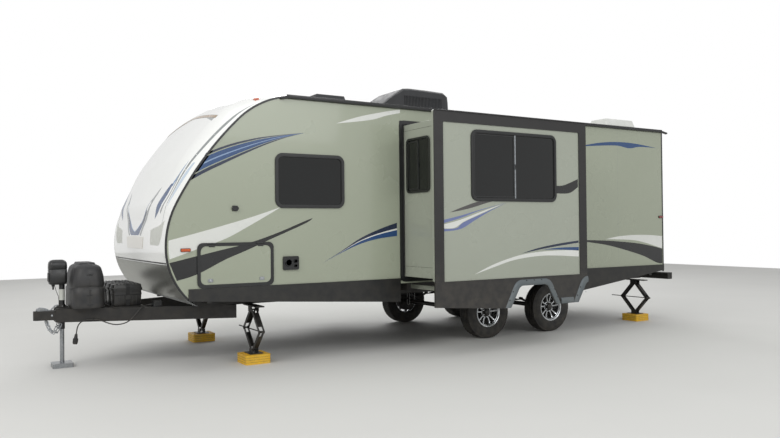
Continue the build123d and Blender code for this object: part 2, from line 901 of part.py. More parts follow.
# Slide-out room: box, fascia, trim and windows
box_front_x = slide_front_x + fascia_lap
box_rear_x = slide_rear_x - fascia_lap
with BuildPart() as slide_box:
    with BuildSketch(side_plane(-slide_box_inner_y)):
        round_rect(box_front_x, box_rear_x, slide_box_floor_z, slide_box_top_z, 4)
        with BuildSketch(mode=Mode.SUBTRACT):
            round_rect(
                box_front_x + slide_wall,
                box_rear_x - slide_wall,
                slide_box_floor_z + slide_wall,
                slide_box_top_z - slide_wall,
                2,
            )
    extrude(amount=fascia_back_y - fit_gap - slide_box_inner_y)
    with BuildSketch(Plane.YZ.offset(box_front_x)):
        y_low, y_high, z_low, z_high, corner = slide_side_window
        round_rect(-y_high, -y_low, z_low, z_high, corner)
    extrude(amount=slide_wall, mode=Mode.SUBTRACT)
    # Rails under the room, each hung from a plate behind the fascia
    with BuildSketch(side_plane(-slide_rail_in_y)):
        with Locations(*slide_rail_places):
            Rectangle(slide_rail_size, slide_rail_size)
    extrude(amount=fascia_back_y - fit_gap - slide_rail_in_y)
    plate_low_z = slide_rail_z - slide_rail_size / 2
    with BuildSketch(side_plane(-fascia_back_y + fit_gap + slide_hanger)):
        with Locations(*[(x, (plate_low_z + slide_box_floor_z) / 2) for x in slide_rail_xs]):
            Rectangle(160, slide_box_floor_z - plate_low_z)
    extrude(amount=slide_hanger)
pieces["slide_box"] = slide_box

with BuildPart() as slide_fascia:
    with BuildSketch(side_plane(-fascia_back_y)):
        round_rect(slide_front_x, slide_rear_x, fascia_panel_low_z, slide_top_z, 20)
        with BuildSketch(mode=Mode.SUBTRACT):
            round_rect(*slide_window)
    extrude(amount=fascia_thickness)
pieces["slide_fascia"] = slide_fascia

strip_thickness = 10
with BuildPart() as slide_trim:
    with BuildSketch(side_plane(-slide_out_y - fit_gap)):
        round_rect(slide_front_x, slide_rear_x, fascia_panel_low_z, slide_top_z, 20)
        with BuildSketch(mode=Mode.SUBTRACT):
            round_rect(
                slide_front_x + corner_strip_width,
                slide_rear_x - corner_strip_width,
                fascia_panel_low_z - 100,
                slide_top_z - corner_strip_width,
                20,
            )
    extrude(amount=strip_thickness)
    # Skirt below the panel, cut by the front wheel's arch and half of the rear's
    with BuildSketch(side_plane(-fascia_back_y - fascia_thickness + skirt_thickness)):
        with BuildLine():
            Polyline(
                (slide_front_x, fascia_panel_low_z - fit_gap),
                (slide_front_x, slide_skirt_z + 68),
                (front_axle_x - arch_half_low - 100, slide_skirt_z),
                (slide_rear_x, slide_skirt_z),
                (slide_rear_x, fascia_panel_low_z - fit_gap),
                close=True,
            )
        make_face()
        for x in axle_stations:
            add(arch_face(x, 0), mode=Mode.SUBTRACT)
    extrude(amount=skirt_thickness + strip_thickness)
pieces["slide_trim"] = slide_trim

slide_face = Plane.XZ.offset(slide_out_y + fit_gap)
with BuildPart() as slide_windows:
    framed_holes([slide_window], slide_face, window_proud)
pieces["slide_window_frame"] = slide_windows

with BuildPart() as slide_glass:
    with BuildSketch(slide_face.offset(-glass_thickness)):
        round_rect(*shrink(slide_window, 20 + fit_gap))
    extrude(amount=glass_thickness)
    with BuildSketch(Plane.YZ.offset(box_front_x)):
        y_low, y_high, z_low, z_high, corner = shrink(slide_side_window, fit_gap)
        round_rect(-y_high, -y_low, z_low, z_high, corner)
    extrude(amount=glass_thickness)
pieces["slide_glass"] = slide_glass

# Wheel arch flares on the body skirt and on the slide's skirt
with BuildPart() as body_flares:
    with BuildSketch(side_plane(body_half_width + skirt_thickness + 2 * fit_gap + flare_thickness)):
        for x in axle_stations:
            add(arch_face(x, arch_band))
        for x in axle_stations:
            add(arch_face(x, 0), mode=Mode.SUBTRACT)
    extrude(amount=flare_thickness)
    with BuildSketch(side_plane(-body_half_width - skirt_thickness - 2 * fit_gap)):
        add(arch_face(rear_axle_x, arch_band))
        add(arch_face(rear_axle_x, 0), mode=Mode.SUBTRACT)
    extrude(amount=flare_thickness)
    with BuildSketch(Plane.XY.offset(floor_top_z + 40)):
        Rectangle(4 * rear_wall_x, 4 * body_half_width)
    extrude(amount=-1, mode=Mode.SUBTRACT)
    # Level cut along the skirt's lowest edge, and the slide's room on its side
    with BuildSketch(Plane.XY.offset(skirt_low_z - 40)):
        Rectangle(4 * rear_wall_x, 4 * body_half_width)
    extrude(amount=-200, mode=Mode.SUBTRACT)
    with BuildSketch(Plane.XY):
        with Locations((slide_rear_x / 2, -body_half_width - 100)):
            Rectangle(slide_rear_x + 24, 300)
    extrude(amount=rear_wall_x, mode=Mode.SUBTRACT)
pieces["body_flares"] = body_flares

with BuildPart() as slide_flare:
    with BuildSketch(side_plane(-slide_out_y - strip_thickness - fit_gap)):
        for x in axle_stations:
            add(arch_face(x, arch_band))
        for x in axle_stations:
            add(arch_face(x, 0), mode=Mode.SUBTRACT)
    extrude(amount=flare_thickness)
    with BuildSketch(Plane.XY.offset(slide_skirt_z)):
        Rectangle(4 * rear_wall_x, 4 * slide_out_y)
    extrude(amount=-200, mode=Mode.SUBTRACT)
    with BuildSketch(Plane.XY):
        with Locations((slide_rear_x + 600, -slide_out_y)):
            Rectangle(1200, 400)
    extrude(amount=rear_wall_x, mode=Mode.SUBTRACT)
pieces["slide_flare"] = slide_flare

# Doors: a leaf with a proud flange, and hinge knuckles that turn on the wall's pins
# Hinges: middle of the axis, its direction, the wall's normal, half reach of a
# knuckle and the knuckles' places along the axis
hinge_out = body_half_width + fit_gap + door_flange + hinge_stand
hinges = {
    "storage_door_street": (
        ((storage_hole[0] + storage_hole[1]) / 2, -hinge_out, storage_hole[3] + hinge_stand),
        (1, 0, 0),
        (0, -1, 0),
        (-260, 260),
    ),
    "storage_door_far": (
        ((storage_hole[0] + storage_hole[1]) / 2, hinge_out, storage_hole[3] + hinge_stand),
        (-1, 0, 0),
        (0, 1, 0),
        (-260, 260),
    ),
    "entry_door": (
        (entry_hole[0] - hinge_stand, hinge_out, (entry_hole[2] + entry_hole[3]) / 2),
        (0, 0, -1),
        (0, 1, 0),
        (-700, 0, 700),
    ),
}


def hinge_section(hinge, offset):
    """Plane across a hinge: local x points off the wall, local y towards the leaf."""
    middle, axis, normal, _ = hinge
    origin = Vector(*middle) + Vector(*axis) * offset
    return Plane(origin=origin, x_dir=normal, z_dir=axis)


def add_knuckles(hinge):
    """Leaf's knuckles with their straps, in the part that is open."""
    for place in hinge[3]:
        with BuildSketch(hinge_section(hinge, place - knuckle_half)) as knuckle:
            Circle(hinge_radius)
            with Locations((-hinge_stand + strap_thickness / 2, strap_reach / 2)):
                Rectangle(strap_thickness, strap_reach)
            Circle(hinge_pin_radius + hinge_clearance, mode=Mode.SUBTRACT)
        extrude(knuckle.sketch, amount=2 * knuckle_half)


def add_hinge_pins(hinge):
    """Pins and brackets on the wall's side, in the part that is open."""
    stand = hinge_stand + door_flange
    for place in hinge[3]:
        reach = knuckle_half + 1 + bracket_width
        with BuildSketch(hinge_section(hinge, place - reach)) as pin:
            Circle(hinge_pin_radius)
        extrude(pin.sketch, amount=2 * reach)
        for start in (-reach, knuckle_half + 1):
            with BuildSketch(hinge_section(hinge, place + start)) as bracket:
                Circle(hinge_radius)
                with Locations((-stand / 2, -hinge_radius / 2)):
                    Rectangle(stand, hinge_radius)
            extrude(bracket.sketch, amount=bracket_width)


def door_leaf(plane, hole, hinge):
    """Leaf that fills a hole with a gap all round, hung on its hinge."""
    with BuildPart() as door:
        with BuildSketch(plane) as outline:
            round_rect(*shrink(hole, door_gap))
        extrude(outline.sketch, amount=-leaf_thickness)
        extrude(outline.sketch, amount=door_flange)
        add_knuckles(hinge)
    return door


pieces["storage_door_street"] = door_leaf(
    street_face, storage_hole, hinges["storage_door_street"]
)
pieces["storage_door_far"] = door_leaf(
    door_face, mirrored([storage_hole])[0], hinges["storage_door_far"]
)
pieces["entry_door"] = door_leaf(door_face, mirrored([entry_hole])[0], hinges["entry_door"])

# Entry step: a tread on two runners that slides out from under the floor
with BuildPart() as entry_step:
    with BuildSketch(Plane.XY.offset(step_runner_z - step_runner_height / 2)):
        with Locations(((step_x_low + step_x_high) / 2, step_out_y - step_tread_depth / 2)):
            RectangleRounded(step_x_high - step_x_low, step_tread_depth, 25)
    extrude(amount=step_tread_height)
    with BuildSketch(side_plane(step_out_y - step_tread_depth / 2)):
        with Locations(*[(x, step_runner_z) for x in step_runner_xs]):
            Rectangle(step_runner_width, step_runner_height)
    extrude(amount=step_out_y - step_tread_depth / 2 - step_guide_in_y - 60)
pieces["entry_step"] = entry_step

# Gas bottle cover: two halves on the A-frame's tray
cover_x_low = 65
cover_x_high = 390
cover_half_y = 330
cover_low_z = tray_top_z + fit_gap
cover_top_z = 1100
with BuildPart() as bottle_cover:
    with BuildSketch(Plane.XY.offset(cover_low_z)):
        round_rect(cover_x_low, cover_x_high, -cover_half_y, cover_half_y, 110)
    extrude(amount=cover_top_z - cover_low_z)
    fillet(bottle_cover.faces().sort_by(Axis.Z)[-1].edges(), radius=60)
pieces["bottle_cover"] = bottle_cover

# Battery boxes on the rear tray
battery_x = 608
with BuildPart() as battery_boxes:
    for y in (-210, 20, 250):
        with BuildSketch(Plane.XY.offset(tray_top_z + fit_gap)):
            with Locations((battery_x, y)):
                RectangleRounded(290, 200, 15)
        extrude(amount=175)
        with BuildSketch(Plane.XY.offset(tray_top_z + fit_gap + 175)):
            with Locations((battery_x, y)):
                RectangleRounded(306, 214, 18)
        extrude(amount=65, taper=8)
pieces["battery_boxes"] = battery_boxes

# Tongue jack: fixed housing with its drive head, and the sliding leg
with BuildPart() as jack_housing:
    with BuildSketch(Plane.XY.offset(jack_tube_bottom_z)):
        Circle(jack_tube_radius)
    extrude(amount=jack_head_z - jack_tube_bottom_z + 10)
    with BuildSketch(Plane.XY.offset(jack_tube_bottom_z)):
        Circle(jack_leg_radius + 0.5)
    extrude(amount=jack_head_z - jack_tube_bottom_z - 40, mode=Mode.SUBTRACT)
    with BuildSketch(Plane.XY.offset(jack_head_z)):
        with Locations((-42, 0)):
            RectangleRounded(178, 150, 30)
    extrude(amount=jack_head_top_z - jack_head_z)
    with BuildSketch(Plane.XY.offset(tray_top_z + fit_gap)):
        Circle(58)
        Circle(jack_tube_radius - 2, mode=Mode.SUBTRACT)
    extrude(amount=12)
pieces["jack_housing"] = jack_housing

with BuildPart() as jack_leg:
    with BuildSketch(Plane.XY):
        RectangleRounded(jack_foot_size, jack_foot_size, 12)
    extrude(amount=jack_foot_height)
    with BuildSketch(Plane.XY.offset(jack_foot_height)):
        Circle(jack_leg_radius)
    extrude(amount=jack_tube_bottom_z + 120 - jack_foot_height)
pieces["jack_leg"] = jack_leg


# Stabilisers: on each side the front and rear jack share their hinge lines
def arm_sketch(start, end, end_radius):
    """Plate from one pin to the other with round ends, in the open sketch."""
    run = Vector(*end) - Vector(*start)
    middle = (Vector(*start) + Vector(*end)) / 2
    with Locations((middle.X, middle.Y)):
        SlotCenterToCenter(run.length, 2 * end_radius, rotation=math.degrees(math.atan2(run.Y, run.X)))


def channel_arm(side, start, end, outer_half, holes, stubs, web_lift):
    """Channel arm at both jacks of a side: two plates with a web between them.

    start and end are (y, z) from the jack's own centre, in its side view. holes is
    a list of (pin, radius), and stubs are the pins that stand on the plates."""
    along = (Vector(*end) - Vector(*start)).normalized()
    across = Vector(-along.Y, along.X)
    centre = Vector(side * jack_side_y, 0)
    first = centre + Vector(*start)
    last = centre + Vector(*end)
    web_start = first + along * web_setback + across * web_lift
    web_end = last - along * web_setback + across * web_lift
    side_step = across * jack_plate / 2
    with BuildPart() as arm:
        for x in jack_xs:
            for plate_x in (x - outer_half, x + outer_half - jack_plate):
                with BuildSketch(Plane.YZ.offset(plate_x)):
                    arm_sketch((first.X, first.Y), (last.X, last.Y), jack_arm_end_radius)
                    for pin, radius in holes:
                        with Locations((centre.X + pin[0], pin[1])):
                            Circle(radius + pin_clearance, mode=Mode.SUBTRACT)
                extrude(amount=jack_plate)
            with BuildSketch(Plane.YZ.offset(x - outer_half)):
                with BuildLine():
                    Polyline(
                        web_start + side_step,
                        web_end + side_step,
                        web_end - side_step,
                        web_start - side_step,
                        close=True,
                    )
                make_face()
            extrude(amount=2 * outer_half)
            for pin in stubs:
                for stub_x in (x - trunnion_reach, x + screw_radius + pin_clearance):
                    with BuildSketch(Plane.YZ.offset(stub_x)):
                        with Locations((centre.X + pin[0], pin[1])):
                            Circle(trunnion_radius)
                    extrude(amount=trunnion_reach - screw_radius - pin_clearance)
    return arm


web_setback = 55
screw_radius = 6
trunnion_radius = 12
trunnion_reach = 33
web_offset = jack_arm_end_radius - jack_plate / 2
for label, side in (("street", street), ("door", door_side)):
    # Arm A is the outboard one, arm B the inboard one
    for arm, reach in (("outer", side), ("inner", -side)):
        base_pin = (reach * jack_base_pin_half, jack_base_pin_z)
        trunnion = (reach * trunnion_half, trunnion_z)
        foot_pin = (reach * jack_foot_pin_half, jack_foot_pin_z)
        lift = web_offset if reach < 0 else -web_offset
        trunnion_hole = (trunnion, trunnion_radius)
        upper_holes = [(base_pin, jack_pin_radius)]
        upper_stubs = [trunnion]
        if arm == "outer":
            upper_holes.append(trunnion_hole)
            upper_stubs = []
        pieces["stabiliser_" + label + "_upper_" + arm] = channel_arm(
            side, base_pin, trunnion, jack_arm_outer, upper_holes, upper_stubs, -lift
        )
        pieces["stabiliser_" + label + "_lower_" + arm] = channel_arm(
            side,
            trunnion,
            foot_pin,
            jack_arm_inner,
            [trunnion_hole, (foot_pin, jack_pin_radius)],
            [],
            -lift,
        )
    with BuildPart() as foot:
        for x in jack_xs:
            with BuildSketch(Plane.XY.offset(pad_height + fit_gap)):
                with Locations((x, side * jack_side_y)):
                    RectangleRounded(150, 190, 12)
            extrude(amount=foot_plate)
            with BuildSketch(Plane.XY.offset(pad_height + fit_gap + foot_plate)):
                for end in (-1, 1):
                    with Locations((x + end * 31, side * jack_side_y)):
                        Rectangle(6, 92)
            extrude(amount=foot_pin_rise + 16)
            with BuildSketch(Plane.YZ.offset(x - 34)):
                for half in (-1, 1):
                    with Locations(
                        (side * jack_side_y + half * jack_foot_pin_half, jack_foot_pin_z)
                    ):
                        Circle(jack_pin_radius)
            extrude(amount=68)
    pieces["stabiliser_" + label + "_foot"] = foot
    with BuildPart() as screw:
        for x in jack_xs:
            start_y = side * (jack_side_y + trunnion_half + 30)
            length = 2 * (jack_base_pin_half + jack_arm_length) + 60
            with BuildSketch(side_plane(max(start_y, start_y - side * length))):
                with Locations((x, trunnion_z)):
                    Circle(screw_radius)
            extrude(amount=length)
            with BuildSketch(side_plane(max(start_y, start_y + side * 16))):
                with Locations((x, trunnion_z)):
                    RegularPolygon(radius=13, side_count=6)
            extrude(amount=16)
            with BuildSketch(Plane.YZ.offset(x - trunnion_reach)):
                with Locations((side * (jack_side_y + trunnion_half), trunnion_z)):
                    Circle(trunnion_radius)
            extrude(amount=2 * trunnion_reach)
    pieces["stabiliser_" + label + "_screw"] = screw

# Yellow levelling pads under the stabilisers' feet
with BuildPart() as levelling_pads:
    for x in jack_xs:
        for side in (street, door_side):
            with BuildSketch(Plane.XY):
                with Locations((x, side * jack_side_y)):
                    RectangleRounded(pad_size, pad_size, 20)
            extrude(amount=pad_height)
pieces["levelling_pads"] = levelling_pads

# Roof: air conditioner, vent with its lid, and the skylight
def roof_z(y):
    """Height of the roof's outer face at a distance from the middle."""
    radius = (body_half_width ** 2 + roof_crown ** 2) / (2 * roof_crown)
    return roof_edge_z + roof_crown - radius + math.sqrt(radius ** 2 - y ** 2)


ac_x_low = 3790
ac_x_high = 4830
ac_half_y = 355
ac_top_z = 3290
with BuildPart() as air_conditioner:
    with BuildSketch(side_plane(ac_half_y)):
        with BuildLine():
            Polyline(
                (ac_x_low, roof_z(ac_half_y)),
                (ac_x_low + 20, roof_z(0) + 90),
                (ac_x_low + 330, ac_top_z - 10),
                (ac_x_low + 420, ac_top_z),
                (ac_x_high - 30, ac_top_z - 12),
                (ac_x_high, ac_top_z - 50),
                (ac_x_high, roof_z(ac_half_y)),
                close=True,
            )
        make_face()
    extrude(amount=2 * ac_half_y)
    cut_by_roof()
pieces["air_conditioner"] = air_conditioner

vent_rim_z = roof_z(0) + 62
vent_hinge_x = vent_x + vent_half + 32
vent_hinge = (
    (vent_hinge_x, vent_y, vent_rim_z + door_flange + hinge_stand),
    (0, -1, 0),
    (0, 0, 1),
    (-120, 120),
)
with BuildPart() as roof_vents:
    with BuildSketch(Plane.XY.offset(vent_rim_z)):
        with Locations((vent_x, vent_y)):
            RectangleRounded(2 * vent_half, 2 * vent_half, 20)
        with Locations((vent_x + vent_half, vent_y)):
            Rectangle(90, 340)
        with Locations((vent_x, vent_y)):
            Rectangle(vent_hole, vent_hole, mode=Mode.SUBTRACT)
    extrude(amount=-100)
    add_hinge_pins(vent_hinge)
    with BuildSketch(Plane.XY.offset(roof_z(skylight_y + skylight_half_y) + 20)) as skylight:
        with Locations((skylight_x, skylight_y)):
            RectangleRounded(skylight_length, 2 * skylight_half_y, 30)
    extrude(skylight.sketch, amount=-80)
    extrude(skylight.sketch, amount=skylight_rise, taper=20)
    cut_by_roof()
pieces["roof_vents"] = roof_vents

with BuildPart() as vent_lid:
    with BuildSketch(Plane.XY.offset(vent_rim_z + fit_gap)):
        with Locations((vent_x, vent_y)):
            RectangleRounded(2 * vent_half + 24, 2 * vent_half + 24, 30)
    extrude(amount=60, taper=20)
    add_knuckles(vent_hinge)
pieces["roof_vent_lid"] = vent_lid

# Rolled awning on the door side
awning_x_low = 2900
awning_x_high = 7700
awning_z = 2700
awning_radius = 55
awning_y = body_half_width + 75
with BuildPart() as rolled_awning:
    with BuildSketch(Plane.YZ.offset(awning_x_low)):
        with Locations((awning_y, awning_z)):
            Circle(awning_radius)
    extrude(amount=awning_x_high - awning_x_low)
    for x in (awning_x_low, awning_x_high - 45):
        with BuildSketch(Plane.XY.offset(1100)):
            with Locations((x + 22, body_half_width + fit_gap + 15)):
                Rectangle(45, 30)
        extrude(amount=awning_z - 1100)
pieces["rolled_awning"] = rolled_awning

# Lamps: clearance lamps, tail lamps and their places
with BuildPart() as lamps:
    for side in (street, door_side):
        with BuildSketch(rear_face):
            with Locations((side * 1080, 1100)):
                RectangleRounded(140, 330, 20)
        extrude(amount=25)
    with BuildSketch(rear_face):
        for y in (-180, 0, 180):
            with Locations((y, 2760)):
                RectangleRounded(100, 32, 8)
    extrude(amount=18)
    for plane, mirror_x in ((street_face, 1), (door_face, -1)):
        with BuildSketch(plane):
            for x, z in ((967, 1234), (8127, 1560)):
                with Locations((mirror_x * x, z)):
                    RectangleRounded(100, 36, 8)
        extrude(amount=18)
pieces["lamps"] = lamps

# Tow cable: out of the junction box, sagging under the rail, along it and down
cable_radius = 6
cable_points = [
    (820, -440, 642),
    (765, -440, 642),
    (708, -456, 615),
    (652, -462, 548),
    (592, -440, 480),
    (530, -405, 452),
    (470, -372, 446),
    (410, -338, 460),
    (350, -296, 488),
    (290, -264, 505),
    (230, -236, 507),
    (175, -210, 494),
    (136, -193, 460),
    (119, -185, 410),
    (113, -182, 356),
]
clip_share = 0.72
clip_reach = 15
clip_wall = 5


def corner_radii(points, share=0.45):
    """Radius of each corner's arc: as large as the two runs beside it allow."""
    radii = []
    for before, point, after in zip(points, points[1:], points[2:]):
        run_in = Vector(*point) - Vector(*before)
        run_out = Vector(*after) - Vector(*point)
        turn = math.radians(run_in.get_angle(run_out))
        radii.append(share * min(run_in.length, run_out.length) / math.tan(turn / 2))
    return radii


cable_radii = corner_radii(cable_points)
with BuildPart() as tow_cable:
    with BuildLine() as cable_path:
        FilletPolyline(*cable_points, radius=cable_radii)
    with BuildSketch(Plane(origin=cable_path.line @ 0, z_dir=cable_path.line % 0)):
        Circle(cable_radius)
    sweep()
pieces["tow_cable"] = tow_cable
cable_wire = cable_path.wires()[0]
print("cable length", round(cable_wire.length), "radii", [round(radius) for radius in cable_radii])

plug_plane = Plane(origin=cable_wire @ 1, z_dir=cable_wire % 1)
with BuildPart() as tow_plug:
    with BuildSketch(plug_plane):
        Circle(13)
    extrude(amount=45, taper=-8)
    with BuildSketch(plug_plane.offset(45)):
        Circle(25)
    extrude(amount=60)
pieces["tow_plug"] = tow_plug

# Side fittings: power inlet, vents and hatches
junction_x = 880
with BuildPart() as outer_fittings:
    with BuildSketch(street_face):
        with Locations((2090, 1070)):
            RectangleRounded(180, 145, 15)
        with Locations((1475, 1650)):
            RectangleRounded(55, 55, 6)
    extrude(amount=16)
    with BuildSketch(door_face):
        with Locations((-2500, 1070)):
            RectangleRounded(400, 400, 20)
        with Locations((-7350, 1120)):
            RectangleRounded(480, 420, 20)
    extrude(amount=12)
    for hinge in hinges.values():
        add_hinge_pins(hinge)
    # Junction box on the A-frame, with the gland that the tow cable leaves by
    gland_x, gland_y, gland_z = cable_points[0]
    with BuildSketch(Plane.XY.offset(rail_bottom_z + fit_gap)):
        with Locations((junction_x, gland_y)):
            RectangleRounded(90, 76, 8)
    extrude(amount=58)
    with BuildSketch(Plane.YZ.offset(gland_x)):
        with Locations((gland_y, gland_z)):
            Circle(cable_radius + 5)
    extrude(amount=junction_x - 45 - gland_x + 5)
    # Clip that holds the cable on the rail's side
    clip_plane = Plane(origin=cable_wire @ clip_share, x_dir=(0, 1, 0), z_dir=cable_wire % clip_share)
    with BuildSketch(clip_plane):
        Circle(cable_radius + clip_wall)
        with Locations((clip_reach / 2, 0)):
            Rectangle(clip_reach, 2 * clip_wall)
        Circle(cable_radius + fit_gap, mode=Mode.SUBTRACT)
    extrude(amount=clip_wall)
pieces["outer_fittings"] = outer_fittings


# Safety chains: links along two hanging loops


def chain_link(point, direction, roll):
    """One link centred at point, lying along direction and rolled about it."""
    across = direction.cross(Vector(0, 1, 0)).cross(direction)
    link_plane = Plane(origin=point, x_dir=direction, z_dir=across).rotated((roll, 0, 0))
    with BuildSketch(link_plane.offset(-chain_wire / 2)) as ring:
        with BuildLine():
            outer = [
                (link_length / 2 - 8, -link_width / 2),
                (link_length / 2, -link_width / 2 + 8),
                (link_length / 2, link_width / 2 - 8),
                (link_length / 2 - 8, link_width / 2),
                (-link_length / 2 + 8, link_width / 2),
                (-link_length / 2, link_width / 2 - 8),
                (-link_length / 2, -link_width / 2 + 8),
                (-link_length / 2 + 8, -link_width / 2),
            ]
            Polyline(*outer, close=True)
        make_face()
        Rectangle(link_length - 2 * chain_wire, link_width - 2 * chain_wire, mode=Mode.SUBTRACT)
    extrude(ring.sketch, amount=chain_wire)


def hanging_points(start, end, drop):
    """Centres and directions of an odd number of links along a hanging parabola."""
    def at(share):
        point = Vector(*start) * (1 - share) + Vector(*end) * share
        return point - Vector(0, 0, 4 * drop * share * (1 - share))

    shares = [step / 400 for step in range(401)]
    lengths = [(at(b) - at(a)).length for a, b in zip(shares, shares[1:])]
    count = 2 * round((sum(lengths) / chain_pitch - 1) / 2) + 1
    spacing = sum(lengths) / count
    links = []
    travelled = spacing / 2
    for share, length in zip(shares, lengths):
        travelled += length
        if travelled >= spacing:
            links.append((at(share), (at(share + 0.01) - at(share - 0.01)).normalized()))
            travelled -= spacing
    return links


with BuildPart() as safety_chains:
    for start, end, drop in chain_runs:
        for index, (point, direction) in enumerate(hanging_points(start, end, drop)):
            chain_link(point, direction, 90 * (index % 2))
pieces["safety_chains"] = safety_chains

for label, piece in pieces.items():
    piece.part.label = label
    export_step(piece.part, f"parts/{label}.step")
print(len(pieces), "pieces")
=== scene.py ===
import math

import bmesh
import bpy
from mathutils import Matrix, Vector
from mathutils.bvhtree import BVHTree


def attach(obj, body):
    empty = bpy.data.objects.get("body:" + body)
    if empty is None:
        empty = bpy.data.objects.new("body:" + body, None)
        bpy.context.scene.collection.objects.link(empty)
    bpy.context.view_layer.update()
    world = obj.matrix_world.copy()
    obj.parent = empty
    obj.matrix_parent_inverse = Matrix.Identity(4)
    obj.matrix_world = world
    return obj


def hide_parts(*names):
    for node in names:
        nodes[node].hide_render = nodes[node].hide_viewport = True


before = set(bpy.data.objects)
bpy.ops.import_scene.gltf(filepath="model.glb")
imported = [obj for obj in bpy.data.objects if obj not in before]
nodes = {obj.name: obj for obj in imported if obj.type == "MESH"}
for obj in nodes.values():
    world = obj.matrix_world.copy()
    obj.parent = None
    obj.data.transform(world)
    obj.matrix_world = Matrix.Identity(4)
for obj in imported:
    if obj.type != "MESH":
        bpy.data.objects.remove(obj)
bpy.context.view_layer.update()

scene = bpy.context.scene

# Where the CAD has things, in metres
bodyHalf = 1.219          # outer face of the side walls
slideFace = 1.899         # outer face of the slide-out room's front panel
rearWall = 8.18
springOffset = 0.765      # leaf springs off the middle
frontAxle = 4.92
rearAxle = 6.018
axleHeight = 0.3315
roofEdge = 2.870          # roof over the side walls
doorFace = 0.0083         # face of a door's flange off the wall
street, doorSide = -1, 1
padPlaces = [(x, side * 0.93) for x in (1.78, 7.88) for side in (street, doorSide)]


def linear(code):
    # sRGB hex to the linear values that Blender wants
    def channel(value):
        return value / 12.92 if value <= 0.04045 else ((value + 0.055) / 1.055) ** 2.4
    return tuple(channel(int(code[i:i + 2], 16) / 255) for i in (0, 2, 4)) + (1,)


def addNode(tree, kind, settings=None, links=None):
    node = tree.nodes.new(kind)
    for name, value in (settings or {}).items():
        if isinstance(name, int) or name in node.inputs:
            node.inputs[name].default_value = value
        else:
            setattr(node, name, value)
    for name, source in (links or {}).items():
        tree.links.new(source, node.inputs[name])
    return node


def makePiece(name, shape, finish, body, slot, replaced=(), bevel=None, smooth=35):
    # Turns a bmesh into a finished object that rides on a body of the frame
    bmesh.ops.remove_doubles(shape, verts=shape.verts, dist=1e-6)
    return placePiece(name, plainMesh(name, shape), finish, body, slot, replaced, bevel, smooth)


def plainMesh(name, shape):
    bmesh.ops.recalc_face_normals(shape, faces=shape.faces)
    mesh = bpy.data.meshes.new(name)
    shape.to_mesh(mesh)
    shape.free()
    return mesh


def placeObject(name, data):
    holder = bpy.data.objects.new(name, data)
    scene.collection.objects.link(holder)
    return holder


def placePiece(name, mesh, finish, body, slot, replaced=(), bevel=None, smooth=35):
    material = materials[finish]
    if material.name not in [m.name for m in mesh.materials if m]:
        mesh.materials.append(material)
    mesh.shade_smooth()
    mesh.set_sharp_from_angle(angle=math.radians(smooth))
    piece = placeObject(name, mesh)
    if bevel:
        rounding = piece.modifiers.new("rounding", "BEVEL")
        rounding.width, rounding.segments, rounding.limit_method = bevel, 2, "ANGLE"
        rounding.angle_limit = math.radians(40)
        rounding.harden_normals = True
    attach(piece, body)
    if replaced:
        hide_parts(*replaced)
    return piece


def shaped(*forms):
    # A bmesh of one or more forms, each given as its function and what that takes after the shape
    shape = bmesh.new()
    for form, *values in forms:
        form(shape, *values)
    return shape


def solid(name, finish, slot, *forms, body="trailer", **settings):
    # A piece made of plain forms
    return makePiece(name, shaped(*forms), finish, body, slot, **settings)


def skin(shape, rings, loop=False):
    # Faces between rings of equally many points; loop joins the last ring to the first
    made = [[shape.verts.new(point) for point in ring] for ring in rings]
    pairs = list(zip(made, made[1:])) + ([(made[-1], made[0])] if loop else [])
    for a, b in pairs:
        for i in range(len(a)):
            j = (i + 1) % len(a)
            shape.faces.new((a[i], a[j], b[j], b[i]))
    if not loop:
        shape.faces.new(made[0][::-1])
        shape.faces.new(made[-1])


def roundedOutline(u0, u1, v0, v1, radius, steps=6):
    points = []
    for cu, cv, start in ((u1 - radius, v1 - radius, 0), (u0 + radius, v1 - radius, 90),
                          (u0 + radius, v0 + radius, 180), (u1 - radius, v0 + radius, 270)):
        for step in range(steps + 1):
            angle = math.radians(start + 90 * step / steps)
            points.append((cu + radius * math.cos(angle), cv + radius * math.sin(angle)))
    return points


def sidePoint(side):
    # u along X, v up, w outwards from the centre plane on that side
    return lambda u, v, w: Vector((u, side * w, v))


def endPoint(u, v, w):
    # u across, v up, w rearward
    return Vector((w, u, v))


def levelPoint(u, v, w):
    # u along X, v across, w up
    return Vector((u, v, w))


def slab(shape, outline, place, low, high):
    skin(shape, [[place(u, v, low) for u, v in outline], [place(u, v, high) for u, v in outline]])


def block(shape, low, high):
    outline = [(low[0], low[1]), (high[0], low[1]), (high[0], high[1]), (low[0], high[1])]
    slab(shape, outline, levelPoint, low[2], high[2])


def ring(shape, outer, inner, place, low, high):
    # A flat frame between two outlines of equally many points
    skin(shape, [[place(u, v, w) for u, v in outline]
                 for outline, w in ((outer, low), (outer, high), (inner, high), (inner, low))], loop=True)


def turned(shape, stations, origin, axis, sides=24):
    # Solid of revolution: stations are (distance along the axis, radius)
    axis = Vector(axis).normalized()
    across = axis.orthogonal().normalized()
    other = axis.cross(across)
    rings = []
    for along, radius in stations:
        rings.append([Vector(origin) + axis * along + (across * math.cos(a) + other * math.sin(a)) * radius
                      for a in (2 * math.pi * i / sides for i in range(sides))])
    skin(shape, rings)


def lathe(shape, profile, origin, side, steps=72):
    # A closed profile of (distance outboard, radius) turned about an axle along Y
    rings = []
    for i in range(steps):
        angle = 2 * math.pi * i / steps
        rings.append([Vector(origin) + Vector((radius * math.sin(angle), side * out, radius * math.cos(angle)))
                      for out, radius in profile])
    skin(shape, rings, loop=True)


